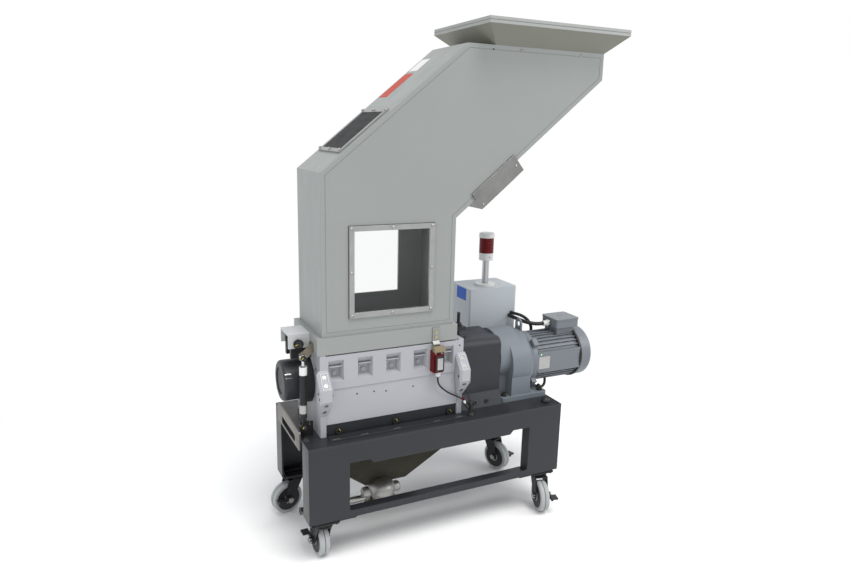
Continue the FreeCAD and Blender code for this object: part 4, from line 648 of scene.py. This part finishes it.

# Nuts, wheel discs and the painted shade of the tread grooves of the casters: swivel X and Y, and the turn in
# degrees
casters = {"front_left": (50, 30, 93), "front_right": (797, 30, 255), "rear_left": (50, 335, 193),
           "rear_right": (797, 335, 288)}
casterTrim = {"trail": 33, "axleHeight": 50, "nutIn": 21.6, "nutOut": 28.1, "nut": 9, "discFace": 13.6,
              "grooveHalf": 1.4, "tread": 50.08, "treadUnder": 49.4}
for corner, (x, y, turn) in casters.items():
    turn = math.radians(turn)
    trail = casterTrim["trail"]
    hub = Vector((x + trail * math.cos(turn), y + trail * math.sin(turn), casterTrim["axleHeight"]))
    side = Vector((-math.sin(turn), math.cos(turn), 0))
    shape = bmesh.new()
    addHardware(shape, "hexSleeve", hub - side * casterTrim["nutIn"], -side, casterTrim["nut"])
    addHardware(shape, "hexSleeve", hub + side * casterTrim["nutOut"], side, casterTrim["nut"])
    finishPiece("axleNuts_" + corner, "fork_" + corner, "boltSteel", shape)
    shape = bmesh.new()
    for way in (-1, 1):
        addSleeve(shape, hub + side * way * casterTrim["discFace"], side * way,
                  [(0, 39), (2.2, 39), (2.2, 36.5), (1.5, 34), (1.5, 18), (2.6, 16.5), (2.6, 10), (0, 10)])
    finishPiece("wheelDiscs_" + corner, "wheel_" + corner, "wheelCore", shape)
    # A thin dark band round the middle of the tread: painted shade where the groove is
    shape = bmesh.new()
    width, tread, under = casterTrim["grooveHalf"] * 2, casterTrim["tread"], casterTrim["treadUnder"]
    addSleeve(shape, hub - side * casterTrim["grooveHalf"], side,
              [(0, under), (0, tread), (width, tread), (width, under)], 64)
    finishPiece("wheelGroove_" + corner, "wheel_" + corner, "grooveShade", shape)
print("hardware placed:", len(screws), "kinds")

# Corner plates, caster plates and swivel races under the base, in the carriers' place
casterPlate = {"middle": [(78, 34), (769, 34), (78, 331), (769, 331)], "long": 130, "wide": 60, "thick": 6,
               "under": 126.5, "padLong": 84, "padWide": 58, "padThick": 4, "race": 27, "boltX": 33,
               "boltY": 20, "bolt": 5.5}
shape = bmesh.new()
for (x, y), (cx, cy, turn) in zip(casterPlate["middle"], casters.values()):
    under = casterPlate["under"]
    addSlab(shape, (x, y, under), top, right, casterPlate["long"], casterPlate["wide"],
            casterPlate["thick"], 4)
    addSlab(shape, (cx, cy, under - casterPlate["padThick"]), top, right, casterPlate["padLong"],
            casterPlate["padWide"], casterPlate["padThick"], 6)
    race = casterPlate["race"]                # radius of the swivel's lower ring
    addTurned(shape, (cx, cy, under - 12), top,
              [(0, race - 4), (1.5, race - 1), (5, race), (6, race - 2), (8, race - 2)])
    for sx in (-1, 1):
        for sy in (-1, 1):
            addHardware(shape, "hexBolt", (cx + sx * casterPlate["boltX"], cy + sy * casterPlate["boltY"],
                                           under - casterPlate["padThick"]), (0, 0, -1), casterPlate["bolt"])
casterPlates = finishPiece("casterPlates", "machine", "blackSteel", shape)
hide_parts("caster_carriers")

# Outlet: a domed body with a knob on either side and its shallow pan
outlet = {"middle": (274, 152, 122), "reach": (45, 60, 37.5), "knob": 17, "knobReach": 64}
shape = bmesh.new()
addDome(shape, outlet["middle"], outlet["reach"])
for way in (-1, 1):
    tip, knob = outlet["knobReach"], outlet["knob"]
    x, y, z = outlet["middle"]
    addTurned(shape, (x + way * 30, y - 8, z - 8), (way, 0, 0),
              [(0, knob - 6), (8, knob - 5), (10, knob), (tip - 37, knob), (tip - 32, knob - 3),
               (tip - 30, knob - 8)])
addSlab(shape, (274, 112, 96), (0, -0.8, -0.6), right, 44, 5, 4, 2)
outletBody = finishPiece("outletBody", "machine", "satinSteel", shape)
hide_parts("outlet_housing")
shape = bmesh.new()
addSlab(shape, (290, 180, 54), top, right, 84, 62, 20, 10)
addTurned(shape, (231, 180, 75), right, [(0, 12.5), (0.6, 15), (16, 15), (17, 12.5)])
addSlab(shape, (282, 168, 72), top, right, 62, 52, 34, 12)
finishPiece("outletPan", "machine", "tanSteel", shape)
print("caster plates and outlet in place")

# Flat plates and stickers: middle, facing, width direction, width, height, thickness, corner
plates = {
    "yellowMarks": {"body": "machine", "look": "yellowMark", "slabs": [
        ((x + 2.5, 57.4, 381.5), front, (0.6, 0, -0.8), 9, 1.6, 0.5, 0.5) for x in (108, 286, 467)]
        + [((x + 8.4, y - 3, 386), (0.9, -0.44, 0), top, 8, 1.8, 1.4, 0.5)
           for x in (689, 829) for y in (97, 263)]},
    "yellowStrutMark": {"body": "machine", "look": "yellowMark", "slabs": [
        ((8.5, 72.5, 400), front, (0.5, 0, 0.86), 6, 1.8, 0.8, 0.5),
        ((33, 96, 400), left, top, 7, 4, 0.8, 0.5)]},
    "yellowHopperMarks": {"body": "hopper", "look": "yellowMark", "slabs": [
        ((10, 73.5, 605), front, (0.5, 0, 0.86), 6, 1.8, 0.8, 0.5),
        ((4, 111.6, 633), front, (0.9, 0, 0.44), 9, 2.2, 0.8, 0.5)]},
    "bearingNotch": {"body": "machine", "look": "polished", "slabs": [
        ((-18, 131.6, 543), (0, -0.80, 0.6), right, 19, 4.5, 1.1, 0.5),
        ((-16, 126, 533), (0, -0.9, 0.43), right, 19, 2.2, 0.9, 0.5)]},
    "pocketLedges": {"body": "machine", "look": "chamberPaint", "slabs": [
        ((101.6 + 87.6 * i, 70.5, 571), top, right, 38, 13, 2.4, 0.6) for i in range(5)]},
    "footRail": {"body": "machine", "look": "basePaint",
                 "slabs": [((289.5, 42, 365), top, right, 431, 33, 3.2, 1)]},
    "railSlots": {"body": "machine", "look": "plateSteel", "slabs": [
        ((x, 33, 368.2), top, right, 24, 4.5, 0.5, 2.2) for x in (92, 177, 280, 410, 487)]},
    "baseLips": {"body": "machine", "look": "basePaint", "slabs": [
        ((423.5, y, 132.6), top, right, 613, 55, 3, 1) for y in (31, 334)]},
    "legLabel": {"body": "machine", "look": "whiteSticker",
                 "slabs": [((48, 362, 207), front, right, 20, 132, 0.8, 1.5)]},
    "motorPlate": {"body": "machine", "look": "nameplate",
                   "slabs": [((843, 96, 475), front, right, 44, 42, 0.8, 2)]},
    "motorRing": {"body": "machine", "look": "greenSticker",
                  "slabs": [((829, 96, 504.5), front, right, 11, 11, 0.5, 5.4)]},
    "motorDot": {"body": "machine", "look": "whiteSticker",
                 "slabs": [((829, 95.5, 504.5), front, right, 6.4, 6.4, 0.4, 3.1)]},
    "cabinetSquare": {"body": "machine", "look": "blueSticker",
                      "slabs": [((655, 344, 676), left, rear, 66, 42, 0.5, 2)]},
    "slopeSticker": {"body": "hopper", "look": "orangeSticker", "slabs": [
        (onUpperSlope(381, 252, 0), upperOut, upperAlong, 112, 60, 0.5, 2)]},
    "slopeLabel": {"body": "hopper", "look": "whiteSticker", "slabs": [
        (onUpperSlope(478, 250, 0), upperOut, upperAlong, 58, 58, 0.5, 2)]},
    "switchFrame": {"body": "machine", "look": "blackPlastic",
                    "slabs": [((412, 26.2, 552), front, right, 27, 48, 2.2, 2)]},
    "switchPlate": {"body": "machine", "look": "nameplate",
                    "slabs": [((412, 24, 551), front, right, 18, 36, 0.6, 1)]},
    "switchSlot": {"body": "machine", "look": "blackPlastic",
                   "slabs": [((411.5, 34, 581), front, right, 7, 9, 1, 1)]},
    "switchHead": {"body": "machine", "look": "beigePlastic", "slabs": [
        ((414, 38, 586), top, right, 36, 15, 15, 1.5)]},
}
for name, kit in plates.items():
    shape = bmesh.new()
    for slab in kit["slabs"]:
        addSlab(shape, *slab)
    finishPiece(name, kit["body"], kit["look"], shape)

shape = bmesh.new()
for x in (62.8, 500.3):
    addFrame(shape, (x, 39, 541), clampHigh, right, 23, 50, 1.4, 3)
finishPiece("clampRecessRims", "machine", "lugPaint", shape)

# Plug on the base with two small connectors on the lead above it
plugs = {
    "basePlug": ("blackPlastic", (529, 34, 366), (-0.04, 0, 1),
                 [(0, 9), (5, 9.5), (9, 6.5), (30, 6), (33, 7.5), (44, 7.5), (46, 5)]),
    "redConnector": ("redPlastic", (501, 38, 425), (0.55, 0, -0.83),
                     [(0, 2.6), (1, 3.4), (8, 3.4), (9, 2.8)]),
    "whiteConnector": ("whiteSticker", (505, 38, 417), (0.45, 0, -0.89),
                       [(0, 3), (1, 3.6), (10, 3.6), (11, 3)]),
}
for name, (look, start, axis, profile) in plugs.items():
    shape = bmesh.new()
    addTurned(shape, start, axis, profile)
    finishPiece(name, "machine", look, shape)

# Folded rim of the tray in two bands, painted lighter than the tray sheet as painted light on its outer face,
# and the dark seal behind each window frame
shape = bmesh.new()
for z, thick in ((1516, 8.2), (1525.8, 8.4)):
    addFrame(shape, (774.5, 179, z), top, right, 494.6, 339.6, thick, 1.2)
finishPiece("trayRims", "hopper", "litRimPaint", shape)
shape = bmesh.new()
for y, out in ((67, front), (290, rear)):
    addFrame(shape, (272.5, y, 837.5), out, right, 263.4, 263.4, 1, 4)
finishPiece("windowSeals", "hopper", "blackPlastic", shape)

# Sleeves: start, direction and the (along, radius) outline of one wall
sleeves = {
    "strutBandHigh": ("strut_tube", "whiteSticker", (14.55, 90, 552), (0.0098, 0, 1),
                      [(0, 10.4), (0, 11), (24, 11), (24, 10.4)]),
    "strutBandLow": ("strut_tube", "nameplate", (13.45, 90, 438), (0.0098, 0, 1),
                     [(0, 10.4), (0, 11), (25, 11), (25, 10.4)]),
    "motorSeam": ("machine", "blackPlastic", (989.4, 180, 476), (1, 0, 0),
                  [(0, 80), (0, 89.3), (7, 89.3), (7, 80)]),
    "switchGland": ("machine", "whitePlastic", (416, 46, 503.4), (0, 0, 1),
                    [(0, 3.2), (0, 6), (5, 8), (17.4, 8), (17.4, 6.8)]),
    "towerCollar": ("machine", "greyPole", (741, 332, 708), (0, 0, 1),
                    [(0, 10.6), (0, 11.6), (82, 11.6), (82, 10.6)]),
    "glandNut": ("machine", "boltSteel", (905.4, 180, 585), (1, 0, 0),
                 [(0, 9), (0, 12.6), (1.5, 13), (8, 13), (8.8, 12), (8.8, 9)]),
}
for name, (body, look, start, axis, profile) in sleeves.items():
    shape = bmesh.new()
    addSleeve(shape, start, axis, profile)
    finishPiece(name, body, look, shape)
print("plates and sleeves placed")


# Light and floor
studio = {"sunStrength": 1.85, "sunSoftness": 28, "worldStrength": 0.66, "softboxWatts": 28}


def makeStudio():
    floorPaint = Paint("paleFloor")
    where = floorPaint.place()
    length = floorPaint.add("VectorMath", {"operation": "LENGTH"}, {0: where}, out="Value")
    grain = floorPaint.noise(where, 60, 3)
    matt = floorPaint.add("BsdfPrincipled", {}, {
        "Base Color": floorPaint.blend(grain, (0.90, 0.90, 0.90), (0.93, 0.93, 0.93)), "Roughness": 0.7})
    white = floorPaint.add("Emission", {}, {"Color": (1, 1, 1), "Strength": 1.0})
    floorPaint.end(floorPaint.add("MixShader", {},
                                  {0: floorPaint.step(length, 0.75, 1.9), 1: matt, 2: white}))
    mesh = bpy.data.meshes.new("floor")
    reach = 60
    mesh.from_pydata([(-reach, -reach, 0), (reach, -reach, 0), (reach, reach, 0), (-reach, reach, 0)], [],
                     [(0, 1, 2, 3)])
    floor = bpy.data.objects.new("floor", mesh)
    mesh.materials.append(floorPaint.material)
    bpy.context.scene.collection.objects.link(floor)

    world = bpy.data.worlds.new("studio")
    bpy.context.scene.world = world
    world.use_nodes = True
    tree = world.node_tree
    tree.nodes.clear()
    path = tree.nodes.new("ShaderNodeLightPath")
    out = tree.nodes.new("ShaderNodeOutputWorld")
    seen = path.outputs["Is Camera Ray"]
    for ray in ("Is Glossy Ray", "Is Transmission Ray"):
        either = tree.nodes.new("ShaderNodeMath")
        either.operation = "MAXIMUM"
        tree.links.new(seen, either.inputs[0])
        tree.links.new(path.outputs[ray], either.inputs[1])
        seen = either.outputs[0]
    mix = tree.nodes.new("ShaderNodeMixShader")
    soft, bright = (tree.nodes.new("ShaderNodeBackground") for _ in range(2))
    soft.inputs["Color"].default_value = (0.94, 0.97, 1, 1)
    soft.inputs["Strength"].default_value = studio["worldStrength"]
    bright.inputs["Strength"].default_value = 1.0
    bright.inputs["Color"].default_value = (1, 1, 1, 1)
    tree.links.new(seen, mix.inputs[0])
    tree.links.new(soft.outputs[0], mix.inputs[1])
    tree.links.new(bright.outputs[0], mix.inputs[2])
    tree.links.new(mix.outputs[0], out.inputs["Surface"])

    def lamp(name, kind, spot, aim, **settings):
        data = bpy.data.lights.new(name, kind)
        for key, value in settings.items():
            setattr(data, key, value)
        obj = bpy.data.objects.new(name, data)
        bpy.context.scene.collection.objects.link(obj)
        turn = (Vector(aim) - Vector(spot)).to_track_quat("-Z", "Y")
        obj.matrix_world = Matrix.LocRotScale(Vector(spot), turn, None)

    lamp("sun", "SUN", (0.4, -1.6, 4.7), (0, 0, 0.6), energy=studio["sunStrength"],
         angle=math.radians(studio["sunSoftness"]), color=(1, 0.985, 0.96))
    lamp("softboxLeft", "AREA", (-2.4, -1.0, 1.7), (0, 0, 0.7), energy=studio["softboxWatts"] * 0.5, size=1.6)
    lamp("softboxRight", "AREA", (2.6, -1.8, 2.2), (0.2, 0, 0.6), energy=studio["softboxWatts"], size=1.6)


makeStudio()
print("studio lit")
